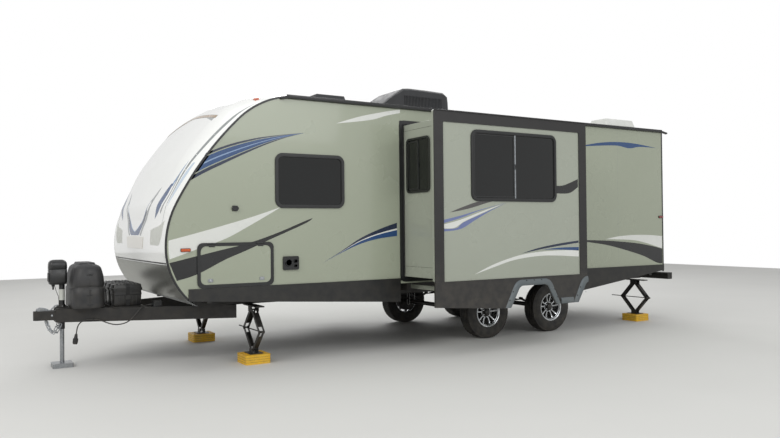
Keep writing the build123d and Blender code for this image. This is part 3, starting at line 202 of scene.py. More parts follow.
def tube(shape, points, radius, sides=10):
    # A round bar along a run of points
    points = [Vector(p) for p in points]
    rings = []
    across = None
    for i, point in enumerate(points):
        run = (points[min(i + 1, len(points) - 1)] - points[max(i - 1, 0)]).normalized()
        across = run.orthogonal().normalized() if across is None else (across - run * across.dot(run)).normalized()
        other = run.cross(across)
        rings.append([point + (across * math.cos(a) + other * math.sin(a)) * radius
                      for a in (2 * math.pi * k / sides for k in range(sides))])
    skin(shape, rings)


def hoop(shape, profile, steps):
    # A closed profile of (height, radius) turned about the jack's upright axis
    rings = []
    for step in range(steps):
        angle = 2 * math.pi * step / steps
        rings.append([Vector((radius * math.cos(angle), radius * math.sin(angle), z)) for z, radius in profile])
    skin(shape, rings, loop=True)


def around(u, v, halfU, halfV, corner, steps):
    # Rounded rectangle about a centre
    return roundedOutline(u - halfU, u + halfU, v - halfV, v + halfV, corner, steps)


# Fitted to the photograph; 780 x 438, the lens for a 36 mm wide sensor
photoView = {"place": (-1.0763, -8.3904, 1.4348), "yaw": 0.5523, "pitch": 0.0122, "roll": -0.0097, "lens": 33.52}


def makeCamera(view):
    camera = placeObject("camera", bpy.data.cameras.new("camera"))
    yaw, pitch, roll = view["yaw"], view["pitch"], view["roll"]
    ahead = Vector((math.sin(yaw) * math.cos(pitch), math.cos(yaw) * math.cos(pitch), math.sin(pitch)))
    right = Vector((math.cos(yaw), -math.sin(yaw), 0))
    up = right.cross(ahead)
    tiltedRight = right * math.cos(roll) + up * math.sin(roll)
    tiltedUp = up * math.cos(roll) - right * math.sin(roll)
    turn = Matrix((tiltedRight, tiltedUp, -ahead)).transposed()
    camera.matrix_world = Matrix.Translation(view["place"]) @ turn.to_4x4()
    camera.data.lens, camera.data.sensor_width = view["lens"], 36
    camera.data.clip_end = 200
    scene.camera = camera


makeCamera(photoView)
print("camera set")

dustColour = linear("8d8473")


def materialOf(name):
    material = bpy.data.materials.new(name)
    material.use_nodes = True
    return material, material.node_tree, material.node_tree.nodes["Principled BSDF"]


def objectSpace(tree, stretch=(1, 1, 1)):
    place = addNode(tree, "ShaderNodeTexCoord")
    mapping = addNode(tree, "ShaderNodeMapping", {"Scale": stretch}, {"Vector": place.outputs["Object"]})
    return mapping.outputs["Vector"]


def noise(tree, where, size, detail=3, low=0.3, high=0.7, out=(0, 1)):
    # Noise with features about size metres wide, spread to the range out
    cloud = addNode(tree, "ShaderNodeTexNoise", {"Scale": 1 / size, "Detail": detail}, {"Vector": where})
    spread = addNode(tree, "ShaderNodeMapRange", {1: low, 2: high, 3: out[0], 4: out[1]}, {0: cloud.outputs["Fac"]})
    return spread.outputs["Result"]


def blendColours(tree, amount, first, second):
    mix = addNode(tree, "ShaderNodeMix", {"data_type": "RGBA"})
    for socket, value in ((0, amount), (6, first), (7, second)):
        if hasattr(value, "node"):
            tree.links.new(value, mix.inputs[socket])
        else:
            mix.inputs[socket].default_value = value
    return mix.outputs[2]


def calculate(tree, operation, first, second):
    node = addNode(tree, "ShaderNodeMath", {"operation": operation})
    for socket, value in ((0, first), (1, second)):
        if hasattr(value, "node"):
            tree.links.new(value, node.inputs[socket])
        else:
            node.inputs[socket].default_value = value
    return node.outputs[0]


def surface(name, colour, shade, rough, metallic=0.0, coat=0.0, mottle=0.4, grain=0.002, depth=0.00004,
            stretch=(1, 1, 1), soil=0.0, wear=None, relief=None):
    # Colour drifts to shade over mottle metres, the texture is grain metres wide and depth metres high;
    # soil is road dust towards the ground, wear the colour of small chips
    material, tree, shader = materialOf(name)
    where = objectSpace(tree, stretch)
    tone = blendColours(tree, noise(tree, where, mottle), linear(colour), linear(shade))
    if wear:
        tone = blendColours(tree, noise(tree, where, 0.03, 5, 0.7, 0.8), tone, linear(wear))
    if soil:
        place = addNode(tree, "ShaderNodeSeparateXYZ", None, {0: objectSpace(tree)})
        height = addNode(tree, "ShaderNodeMapRange", {1: 0.05, 2: 1.2, 3: soil, 4: 0}, {0: place.outputs["Z"]})
        dusty = calculate(tree, "MULTIPLY", height.outputs["Result"], noise(tree, objectSpace(tree), 0.09, 6))
        tone = blendColours(tree, dusty, tone, dustColour)
    tree.links.new(tone, shader.inputs["Base Color"])
    tree.links.new(noise(tree, where, max(grain * 12, mottle / 2), 4, out=rough), shader.inputs["Roughness"])
    shader.inputs["Metallic"].default_value = metallic
    shader.inputs["Coat Weight"].default_value = coat
    shader.inputs["Coat Roughness"].default_value = 0.06
    height = noise(tree, where, grain, 2, 0.2, 0.8)
    bump = addNode(tree, "ShaderNodeBump", {"Strength": 0.6, "Distance": depth}, {"Height": height})
    if relief:
        spacing, tall, direction = relief
        wave = addNode(tree, "ShaderNodeTexWave", {"Scale": math.pi / (10 * spacing), "bands_direction": direction},
                       {"Vector": objectSpace(tree)})
        bump = addNode(tree, "ShaderNodeBump", {"Strength": 0.8, "Distance": tall},
                       {"Height": wave.outputs["Fac"], "Normal": bump.outputs["Normal"]})
    tree.links.new(bump.outputs["Normal"], shader.inputs["Normal"])
    return material


materials = {}
# Each finish with its colour, the colour it drifts to, its roughness range and, for metals, how metallic it is
for finishName, given, more in (
        # Side walls: glossy glass-fibre laminate on lauan, sage grey
        ("wallLaminate", ("9ba18f", "989e8c", (0.26, 0.30)),
         dict(coat=0.35, mottle=1.6, grain=0.006, depth=0.00002, soil=0.2)),
        # The slide-out room's panels: the same laminate, a shade lighter
        ("slidePanel", ("9da295", "9a9f92", (0.26, 0.30)),
         dict(coat=0.35, mottle=1.3, grain=0.006, depth=0.00002, soil=0.15)),
        # Moulded front cap: white polyester gelcoat, polished
        ("capGelcoat", ("f0f1ef", "eceeeb", (0.12, 0.2)), dict(coat=0.6, mottle=0.9, grain=0.03, depth=0.00005)),
        # The shallow panel low on the cap, painted darker and warmer than the gelcoat as the shade in its recess
        ("capRecessPaintedShade", ("dedbd2", "d9d6cd", (0.14, 0.22)), dict(coat=0.5, mottle=0.4, grain=0.03, depth=0.00005)),
        # Rock guard: aluminium sheet brushed up and down
        ("brushedGuard", ("a9aaa4", "888a84", (0.25, 0.42), 0.85),
         dict(mottle=0.05, grain=0.003, depth=0.00002, stretch=(8, 8, 0.15), soil=0.3)),
        # Skirt: black laminate, dulled by the road
        ("skirtPaint", ("101112", "151616", (0.34, 0.46)), dict(mottle=0.6, grain=0.01, depth=0.00004, soil=0.12)),
        # Wheel-arch flares and fenders: grained ABS, mid grey
        ("flareAbs", ("596165", "545c60", (0.42, 0.55)), dict(mottle=0.2, grain=0.0018, depth=0.00012, soil=0.2)),
        # Extruded aluminium trims with black baked enamel
        ("trimBlack", ("121314", "191a1b", (0.3, 0.45)), dict(coat=0.1, mottle=0.3, grain=0.004, depth=0.00003)),
        # Corner trims of the slide-out room: charcoal painted aluminium
        ("cornerCharcoal", ("1f1e1e", "232222", (0.34, 0.46)),
         dict(mottle=0.4, grain=0.006, depth=0.00003, soil=0.2)),
        # Window seals: EPDM rubber
        ("rubberSeal", ("0e0e0f", "151515", (0.6, 0.75)), dict(mottle=0.08, grain=0.0012, depth=0.00006)),
        # Tyres: carbon-black rubber, greyed by dust
        ("tyreRubber", ("17171a", "232322", (0.62, 0.82)), dict(mottle=0.06, grain=0.0025, depth=0.00012, soil=0.15)),
        # Wheels: cast alloy with a machined, lacquered face
        ("machinedAlloy", ("c3c6c9", "aeb1b4", (0.16, 0.3), 0.95),
         dict(coat=0.3, mottle=0.05, grain=0.0012, depth=0.00001, soil=0.15)),
        # The same casting where it is not machined: dark grey paint
        ("pocketPaint", ("25272a", "303235", (0.4, 0.55), 0.3),
         dict(mottle=0.04, grain=0.002, depth=0.00004, soil=0.3)),
        # Chassis: hot-rolled steel in black enamel, with rusty chips
        ("chassisPaint", ("131314", "1d1b19", (0.38, 0.6), 0.1),
         dict(mottle=0.12, grain=0.004, depth=0.00012, soil=0.1, wear="33261d")),
        # Chains, hooks, jack leg and small ironwork: bright zinc plate
        ("zincSteel", ("a3a7ab", "86898c", (0.25, 0.45), 0.9),
         dict(mottle=0.02, grain=0.003, depth=0.00003, soil=0.15)),
        # Jack foot and step treads: galvanised plate
        ("galvanised", ("9da09f", "83878a", (0.4, 0.6), 0.7),
         dict(mottle=0.012, grain=0.004, depth=0.00004, soil=0.5)),
        # Gas bottle cover: polyethylene with a leather grain
        ("bottlePlastic", ("1c1d1f", "26272a", (0.45, 0.6)), dict(mottle=0.1, grain=0.0035, depth=0.00035, soil=0.2)),
        # Battery boxes, jack head and other smooth mouldings: black polypropylene
        ("mouldedBlack", ("151617", "1e1f21", (0.32, 0.48)),
         dict(mottle=0.12, grain=0.0016, depth=0.00007, soil=0.15)),
        # Levelling blocks: bright yellow polypropylene
        ("padYellow", ("e9b912", "d8a60e", (0.4, 0.55)),
         dict(mottle=0.05, grain=0.002, depth=0.0001, soil=0.25, relief=(0.02, 0.0012, "X"))),
        # Trailer cable: PVC jacket
        ("cableJacket", ("131314", "1b1b1c", (0.4, 0.55)), dict(mottle=0.04, grain=0.0015, depth=0.00003, soil=0.2)),
        # Awning: white vinyl cloth, rolled up
        ("awningVinyl", ("d2d2cc", "c2c3bd", (0.45, 0.6)), dict(mottle=0.3, grain=0.0012, depth=0.00015)),
        # Awning arms and roof ironwork: white powder coat
        ("whitePowder", ("cfd0cc", "c4c6c2", (0.35, 0.5)), dict(coat=0.1, mottle=0.3, grain=0.003, depth=0.00006)),
        # Roof: white TPO sheet, gone grey
        ("roofSheet", ("bfc0ba", "b6b7b0", (0.55, 0.7)), dict(mottle=0.25, grain=0.006, depth=0.0002)),
        # Roof air conditioner: black polypropylene shroud
        ("acShroud", ("1b1c1e", "26272a", (0.45, 0.6)), dict(mottle=0.15, grain=0.002, depth=0.00015)),
        # Skylight and vent rims: white ABS
        ("ventWhite", ("dcddd9", "cfd1cc", (0.3, 0.42)), dict(coat=0.1, mottle=0.15, grain=0.002, depth=0.00005)),
        # Underbelly: corrugated black polypropylene sheet
        ("underbelly", ("1a1b1c", "242424", (0.55, 0.7)),
         dict(mottle=0.3, grain=0.004, depth=0.0001, soil=0.5, relief=(0.008, 0.0012, "Y"))),
        # Entry step: steel plate in black enamel with bare treads
        ("stepSteel", ("1f2022", "2b2b2b", (0.4, 0.6), 0.3), dict(mottle=0.05, grain=0.003, depth=0.0002, soil=0.2)),
        # Patches left bare where the real one carries labels: pale vinyl
        ("plainVinyl", ("c9cbc4", "c2c4bd", (0.35, 0.45)), dict(mottle=0.05, grain=0.003, depth=0.00002)),
        # Mirror-bright tin of fasteners and latches
        ("chrome", ("c8cacc", "b4b7ba", (0.12, 0.25), 0.95), dict(mottle=0.02, grain=0.002, depth=0.00001)),
        # Contacts in the plug: brass
        ("brassPins", ("b39b5e", "9c8650", (0.25, 0.4), 0.95), dict(mottle=0.01, grain=0.002, depth=0.00001))):
    materials[finishName] = surface(finishName, *given, **more)
# Cut vinyl films of the side graphics; the grey one also paints the shadow line of the cap's groove
for finishName, colour, shade in (
        ("navyVinyl", "131f38", "16243f"), ("blueVinyl", "1a3f6e", "1e4473"), ("paleVinyl", "c3cfdc", "bccad8"),
        ("lilacVinyl", "626e9a", "6a759f"), ("lightBlueVinyl", "7f97b8", "879eba"),
        ("blackVinyl", "101112", "161718"),
        ("whiteVinyl", "d9dad6", "d2d4cf"), ("brownVinyl", "53504f", "4b4948"), ("greyVinylAndPaintedShade", "8f9494", "878c8c")):
    materials[finishName] = surface(finishName, colour, shade, (0.2, 0.3), coat=0.3, mottle=0.5, grain=0.02,
            depth=0.00003)


def glassMaterial(name, colour, rough, weight=0.0, mirror=0.8):
    # Tinted panes and lenses: faint waviness in the sheet, and a tone that drifts darker at random
    material, tree, shader = materialOf(name)
    where = objectSpace(tree)
    tone = blendColours(tree, noise(tree, where, 0.5), linear(colour), tuple(0.85 * c
            for c in linear(colour)[:3]) + (1,))
    tree.links.new(tone, shader.inputs["Base Color"])
    tree.links.new(noise(tree, where, 0.12, out=(rough, rough * 2)), shader.inputs["Roughness"])
    shader.inputs["Transmission Weight"].default_value = weight
    shader.inputs["Coat Weight"].default_value = mirror
    shader.inputs["Coat Roughness"].default_value = 0.03
    bump = addNode(tree, "ShaderNodeBump", {"Strength": 0.5, "Distance": 0.0002},
            {"Height": noise(tree, where, 0.25, 1)})
    tree.links.new(bump.outputs["Normal"], shader.inputs["Normal"])
    return material


for finishName, given in (("tintedGlass", ("0a0d0d", 0.03, 0.0, 0.0)), ("lensAmber", ("dd5a0c", 0.12, 0.25)),
                          ("lensSmoke", ("a8834e", 0.2, 0.2)), ("lensRed", ("8d0d0e", 0.12, 0.2)),
                          ("lensClear", ("a9aeb0", 0.1, 0.3))):
    materials[finishName] = glassMaterial(finishName, *given)

# Finish of the CAD nodes that keep their own mesh
nodeMaterials = {"wallLaminate": ("street_wall", "door_wall", "rear_wall", "entry_door", "storage_door_street",
        "storage_door_far"), "slidePanel": ("slide_box", "slide_fascia"), "skirtPaint": ("body_skirt",),
        "flareAbs": ("body_flares", "slide_flare"), "cornerCharcoal": ("slide_trim",),
        "trimBlack": ("window_frames", "slide_window_frame", "outer_fittings"),
        "tintedGlass": ("window_glass", "slide_glass"), "roofSheet": ("roof_skin",),
        "chassisPaint": ("chassis_frame", "ball_coupler", "axle_set", "rear_bumper"), "underbelly": ("floor_deck",),
        "stepSteel": ("entry_step",), "zincSteel": ("jack_leg", "safety_chains"), "padYellow": ("levelling_pads",),
        "ventWhite": ("roof_vents",), "acShroud": ("roof_vent_lid",), }
for materialName, nodeNames in nodeMaterials.items():
    for nodeName in nodeNames:
        for slot in nodes[nodeName].material_slots:
            slot.material = materials[materialName]
for nodeName, node in nodes.items():
    if nodeName.startswith("stabiliser_"):
        for slot in node.material_slots:
            slot.material = materials["chassisPaint"]
print("materials done")


def makeLights():
    def lamp(name, place, aim, size, power, colour=(1, 1, 1)):
        light = bpy.data.lights.new(name, "AREA")
        light.shape, light.energy, light.color = "RECTANGLE", power, colour
        light.size, light.size_y = size
        holder = placeObject(name, light)
        holder.location = place
        holder.rotation_euler = (Vector(aim) - Vector(place)).to_track_quat("-Z", "Y").to_euler()

    lamp("keyLight", (-9, -7, 9), (2.5, 0, 1.2), (7, 6), 700, (1, 0.985, 0.97))
    lamp("fillLight", (4, -14, 7), (4.5, 0, 1.2), (12, 6), 640, (0.98, 0.99, 1))
    lamp("backLight", (9, 10, 8), (4, 0, 1.5), (9, 6), 480)
    lamp("topLight", (4, 0, 11), (4, 0, 0), (14, 8), 260)

    world = bpy.data.worlds.new("studio")
    scene.world = world
    world.use_nodes = True
    tree = world.node_tree
    path = addNode(tree, "ShaderNodeLightPath")
    glossy = calculate(tree, "MAXIMUM", path.outputs["Is Glossy Ray"], path.outputs["Is Transmission Ray"])
    background = tree.nodes["Background"]
    seen = calculate(tree, "MAXIMUM", path.outputs["Is Camera Ray"], calculate(tree, "MULTIPLY", glossy, 0.55))
    shade = addNode(tree, "ShaderNodeMapRange", {3: 0.55, 4: 1.0}, {0: seen})
    background.inputs["Color"].default_value = (1, 1, 1, 1)
    tree.links.new(shade.outputs["Result"], background.inputs["Strength"])
    scene.view_settings.view_transform = "Standard"


def makeFloor():
    shape = bmesh.new()
    block(shape, (-14, -18, -0.02), (22, 16, -0.0005))
    floor = placeObject("studioFloor", plainMesh("studioFloor", shape))
    floor.data.materials.append(surface("studioPaper", "d6d6d3", "d2d2cf", (0.7, 0.8), mottle=3, grain=0.01,
            depth=0.00002))


makeLights()
makeFloor()
print("stage done")


# Geometry Nodes for what repeats: the tree puts copies of one mesh at places, and the result is made plain mesh
def realize(tree, source, material):
    solid = addNode(tree, "GeometryNodeRealizeInstances", None, {0: source})
    coloured = addNode(tree, "GeometryNodeSetMaterial", {"Material": material}, {"Geometry": solid.outputs[0]})
    output = addNode(tree, "NodeGroupOutput")
    tree.links.new(coloured.outputs[0], output.inputs[0])


def newTree(name, inputs):
    tree = bpy.data.node_groups.new(name, "GeometryNodeTree")
    tree.interface.new_socket("Geometry", in_out="OUTPUT", socket_type="NodeSocketGeometry")
    for label, kind in inputs:
        tree.interface.new_socket(label, in_out="INPUT", socket_type=kind)
    return tree, addNode(tree, "NodeGroupInput")


def copyOf(given):
    return addNode(given.id_data, "GeometryNodeObjectInfo", None,
            {"Object": given.outputs["Piece"]}).outputs["Geometry"]


def rowTree(material):
    # Copies of an object in a straight row
    tree, given = newTree("rowOf", (("Piece", "NodeSocketObject"), ("Count", "NodeSocketInt"),
                                    ("Start", "NodeSocketVector"), ("Step", "NodeSocketVector")))
    line = addNode(tree, "GeometryNodeMeshLine", None, {"Count": given.outputs["Count"],
                                                        "Start Location": given.outputs["Start"],
                                                        "Offset": given.outputs["Step"]})
    placed = addNode(tree, "GeometryNodeInstanceOnPoints", None, {"Points": line.outputs[0],
                                                                  "Instance": copyOf(given)})
    realize(tree, placed.outputs[0], material)
    return tree


def ringTree(material):
    # Copies of an object turned about an axle that runs along Y
    tree, given = newTree("ringOf", (("Piece", "NodeSocketObject"), ("Count", "NodeSocketInt"),
                                     ("Centre", "NodeSocketVector")))
    line = addNode(tree, "GeometryNodeMeshLine", {"Offset": (0, 0, 0)}, {"Count": given.outputs["Count"],
                                                                         "Start Location": given.outputs["Centre"]})
    index = addNode(tree, "GeometryNodeInputIndex")
    share = calculate(tree, "DIVIDE", index.outputs[0], given.outputs["Count"])
    turn = addNode(tree, "ShaderNodeCombineXYZ", None, {"Y": calculate(tree, "MULTIPLY", share, 2 * math.pi)})
    placed = addNode(tree, "GeometryNodeInstanceOnPoints", None, {"Points": line.outputs[0],
                                                                  "Instance": copyOf(given),
                                                                  "Rotation": turn.outputs[0]})
    realize(tree, placed.outputs[0], material)
    return tree


def growCopies(name, tree, values):
    # Evaluates a tree with its inputs set and returns the plain mesh
    holder = placeObject(name, bpy.data.meshes.new(name + "Seed"))
    modifier = holder.modifiers.new("copies", "NODES")
    modifier.node_group = tree
    for item in tree.interface.items_tree:
        if item.in_out == "INPUT" and item.name in values:
            modifier[item.identifier] = values[item.name]
    evaluated = holder.evaluated_get(bpy.context.evaluated_depsgraph_get())
    mesh = bpy.data.meshes.new_from_object(evaluated)
    mesh.name = name
    bpy.data.objects.remove(holder)
    return mesh


def patternOf(name, shape, bevel=None):
    # The mesh that a tree copies: made at the origin, and taken away when the copies are made
    bmesh.ops.remove_doubles(shape, verts=shape.verts, dist=1e-6)
    bmesh.ops.recalc_face_normals(shape, faces=shape.faces)
    if bevel:
        sharp = [e for e in shape.edges if len(e.link_faces) == 2 and e.calc_face_angle() > math.radians(40)]
        bmesh.ops.bevel(shape, geom=sharp, offset=bevel, segments=2, profile=0.5, affect="EDGES")
    mesh = bpy.data.meshes.new(name)
    shape.to_mesh(mesh)
    shape.free()
    return placeObject(name, mesh)


def makeRow(name, shape, finish, body, slot, count, start, step, bevel=None):
    pattern = patternOf(name + "Pattern", shape, bevel)
    mesh = growCopies(name, rowTree(materials[finish]), {"Piece": pattern, "Count": count, "Start": start,
            "Step": step})
    bpy.data.objects.remove(pattern)
    return placePiece(name, mesh, finish, body, slot)


def makeRing(name, shape, finish, body, slot, count, centre, bevel=None):
    pattern = patternOf(name + "Pattern", shape, bevel)
    mesh = growCopies(name, ringTree(materials[finish]), {"Piece": pattern, "Count": count, "Centre": centre})
    bpy.data.objects.remove(pattern)
    return placePiece(name, mesh, finish, body, slot)


def makeTyre(label, side, x):
    sizes = {"middle": 0.9725, "tread": 0.331, "carcass": 0.3235, "block": 0.0145, "blocks": 66}
    centre = Vector((x, side * sizes["middle"], axleHeight))
    half = [(0.072, 0.180), (0.084, 0.1865), (0.0885, 0.193), (0.0915, 0.196), (0.0965, 0.205), (0.0975, 0.210),
            (0.0988, 0.2105), (0.1005, 0.225), (0.1018, 0.240), (0.1022, 0.252), (0.1008, 0.2535), (0.1010, 0.262),
            (0.0992, 0.280), (0.0972, 0.281), (0.0950, 0.293), (0.0918, 0.302), (0.0880, 0.310), (0.0848, 0.3175),
            (0.0810, 0.3222), (0.0760, sizes["carcass"])]
    inner = [(-0.068, 0.183), (-0.080, 0.215), (-0.080, 0.280), (0, 0.312), (0.080, 0.280), (0.080, 0.215),
            (0.068, 0.183)]
    profile = [(-out, radius) for out, radius in half] + [(0, sizes["carcass"] + 0.001)]
    profile += half[::-1] + inner[::-1]
    solid("tyreCarcass_" + label, "tyreRubber", "tyre", (lathe, profile, centre, side, 96), body="wheel_" + label,
            replaced=["tyre_" + label], smooth=28)
    # Tread: a centre rib and two ribs a side cut into blocks, the outer ones running into the shoulder
    blocks = bmesh.new()
    for low, high, lead in ((-0.0865, -0.0560, 0.2), (-0.0480, -0.0215, 0.45), (-0.0130, 0.0130, 0.0),
                            (0.0215, 0.0480, 0.55), (0.0560, 0.0865, 0.8)):
        start = (lead - 0.5) * 0.012
        outline = [(start - sizes["block"], low), (start + sizes["block"], low + 0.001),
                   (start + sizes["block"], high), (start - sizes["block"], high - 0.001)]
        top = [Vector((u * 0.97, v, sizes["tread"] - (0.004 if abs(v) > 0.08 else 0))) for u, v in outline]
        skin(blocks, [[Vector((u, v, sizes["carcass"] - 0.009)) for u, v in outline], top])
    makeRing("tyreTread_" + label, blocks, "tyreRubber", "wheel_" + label, "tyre", sizes["blocks"], centre)


def makeWheel(label, side, x):
    sizes = {"middle": 0.9725, "spokes": 5, "nuts": 6, "nutCircle": 0.057}
    centre = Vector((x, side * sizes["middle"], axleHeight))
    body = "wheel_" + label
    rim = bmesh.new()
    profile = [(0.0735, 0.1780), (0.0765, 0.1860), (0.0800, 0.1900), (0.0850, 0.1905), (0.0880, 0.1880),
            (0.0880, 0.1835), (0.0850, 0.1790), (0.0840, 0.1735), (0.0800, 0.1695), (0.0700, 0.1680),
            (0.0680, 0.1640), (0.0400, 0.1600), (0.0100, 0.1590), (-0.0600, 0.1640), (-0.0730, 0.1690),
            (-0.0735, 0.1778)]
    lathe(rim, profile, centre, side, 96)
    hub = [(0.004, 0.002), (0.004, 0.074), (0.022, 0.076), (0.034, 0.073), (0.0375, 0.068), (0.0375, 0.046),
            (0.034, 0.043), (0.034, 0.002)]
    lathe(rim, hub, centre, side, 60)
    makePiece("wheelRim_" + label, rim, "machinedAlloy", body, "alloy", ["wheel_" + label], smooth=30)
    # A pair of spokes: each bar widens to the rim, with a machined flat on its outer side
    for name, inset, out, material in (("Face", 0.0028, (0.030, 0.0405), "machinedAlloy"),
            ("Core", 0.0, (0.002, 0.031), "pocketPaint")):
        pair = bmesh.new()
        for lean in (-1, 1):
            rings = []
            for radius, middle, half, lift in ((0.060, 0.0150, 0.0105, 0), (0.090, 0.0215, 0.0112, 0.0006),
                                               (0.125, 0.0315, 0.0128, 0.003), (0.150, 0.0400, 0.0150, 0.010),
                                               (0.1665, 0.0455, 0.0185, 0.026)):
                half -= inset
                base, top = side * (out[0] + lift), side * (out[1] + lift)
                rings.append([Vector((lean * middle - half, base, radius)),
                        Vector((lean * middle + half, base, radius)), Vector((lean * middle + half * 0.9, top,
                        radius)), Vector((lean * middle - half * 0.9, top, radius))])
            skin(pair, rings)
        makeRing("wheelSpokes%s_%s" % (name, label), pair, material, body, "alloy", sizes["spokes"], centre,
                 bevel=0.0012)
    makeRing("wheelNuts_" + label, shaped((turned, [(0.030, 0.0115), (0.0445, 0.0115), (0.0535, 0.0105),
            (0.0575, 0.0065)], (0, 0, sizes["nutCircle"]), (0, side, 0), 6)), "chrome", body, "zinc_steel",
            sizes["nuts"], centre, bevel=0.0008)
    solid("wheelCap_" + label, "mouldedBlack", "black_plastic", (turned,
            [(0.030, 0.0415), (0.046, 0.0405), (0.058, 0.0375), (0.066, 0.0325), (0.0685, 0.0275), (0.0680, 0.0245),
            (0.0700, 0.0190), (0.0712, 0.0100), (0.0715, 0.0020)], centre, (0, side, 0), 40), body=body, smooth=25)
    solid("wheelValve_" + label, "mouldedBlack", "black_plastic", (turned,
            [(0.055, 0.0035), (0.078, 0.0035), (0.079, 0.0045), (0.088, 0.0045), (0.089, 0.003)],
            centre + Vector((0.152, 0, 0.012)), (-0.25, side, 0), 12), body=body)


for wheelLabel, wheelSide, wheelX in (("street_front", street, frontAxle), ("street_rear", street, rearAxle),
                                      ("door_front", doorSide, frontAxle), ("door_rear", doorSide, rearAxle)):
    makeTyre(wheelLabel, wheelSide, wheelX)
    makeWheel(wheelLabel, wheelSide, wheelX)
print("wheels done")


def makeBottleCover():
    # Two halves of a rotomoulded cover, leaning out to the waist, with a lid that domes over both bottles
    sizes = {"x": (0.066, 0.389), "y": 0.329, "z": (0.6285, 1.0995), "waist": 0.845}

    def shell(shape, xLow, xHigh, stations):
        rings = []
        for z, inset, corner in stations:
            low = xLow + (inset if xLow < 0.1 else 0)
            high = xHigh - (inset if xHigh > 0.3 else 0)
            half = sizes["y"] - inset
            outline = roundedOutline(low, high, -half, half, min(corner, (high - low) / 2 - 0.002), 8)
            rings.append([Vector((x, y, z)) for x, y in outline])
        skin(shape, rings)

    low, high = sizes["z"]
    waist = sizes["waist"]
    stations = [(low, 0.006, 0.10), (low + 0.010, 0.001, 0.10), (low + 0.03, 0.0, 0.10),
            (waist - 0.085, 0.002, 0.10), (waist - 0.020, 0.0, 0.10), (waist - 0.010, 0.007, 0.10),
            (waist - 0.002, 0.011, 0.10), (waist + 0.004, 0.011, 0.10), (waist + 0.014, 0.006, 0.10),
            (waist + 0.030, 0.004, 0.10), (waist + 0.115, 0.012, 0.10), (high - 0.085, 0.024, 0.10),
            (high - 0.062, 0.030, 0.10), (high - 0.045, 0.040, 0.095), (high - 0.030, 0.058, 0.085),
            (high - 0.020, 0.082, 0.075), (high - 0.012, 0.115, 0.045)]
    shape = bmesh.new()
    shell(shape, sizes["x"][0], sizes["x"][1], stations)
    makePiece("bottleCover", shape, "bottlePlastic", "trailer", "cover_plastic", ["bottle_cover"], smooth=50)
    # Raised pad on the lid, and the flange where the halves meet, down both flanks and over the top
    solid("bottleCoverPad", "bottlePlastic", "cover_plastic", (skin, [[Vector((x, y, z))
            for x, y in roundedOutline(0.150 + inset, 0.300 - inset, -0.20 + inset, 0.20 - inset, 0.03, 5)]
            for z, inset in ((high - 0.020, -0.006), (high - 0.006, 0.0), (high - 0.001, 0.004), (high, 0.010))]),
            smooth=50)
    middle = (sizes["x"][0] + sizes["x"][1]) / 2
    flange = bmesh.new()
    spine = [(sizes["y"] - inset, z) for z, inset, corner in stations[1:]]
    outer = spine + [(-y, z) for y, z in reversed(spine)]
    lip = 0.0035
    rings = []
    for y, z in outer:
        lift = lip if z > high - 0.03 else 0
        wide = 0.0 if z > high - 0.03 else 0.0008 * (1 if y > 0 else -1)
        rings.append([Vector((middle - 0.011, y * 0.97, z - 0.012)), Vector((middle + 0.011, y * 0.97, z - 0.012)),
                      Vector((middle + 0.011, y + wide, z + lift)), Vector((middle - 0.011, y + wide, z + lift))])
    skin(flange, rings)
    makePiece("bottleCoverFlange", flange, "mouldedBlack", "trailer", "cover_plastic", bevel=0.001)
    # Dark twist fasteners along the flange, one above another on each flank
    for side in (street, doorSide):
        for z, inset in ((0.665, 0.0), (0.765, 0.0015), (0.880, 0.0065), (0.975, 0.014)):
            y = side * (sizes["y"] - inset - 0.004)
            solid("bottleClasp_%s_%d" % ("street" if side < 0 else "door", round(z * 1000)), "trimBlack",
                    "cover_plastic", (slab, around(middle, z, 0.032, 0.007, 0.0066, 6), sidePoint(side),
                    abs(y) - 0.006, abs(y) + 0.0048), (slab, around(middle, z, 0.009, 0.013, 0.008, 5),
                    sidePoint(side), abs(y) - 0.006, abs(y) + 0.0065), bevel=0.0012)


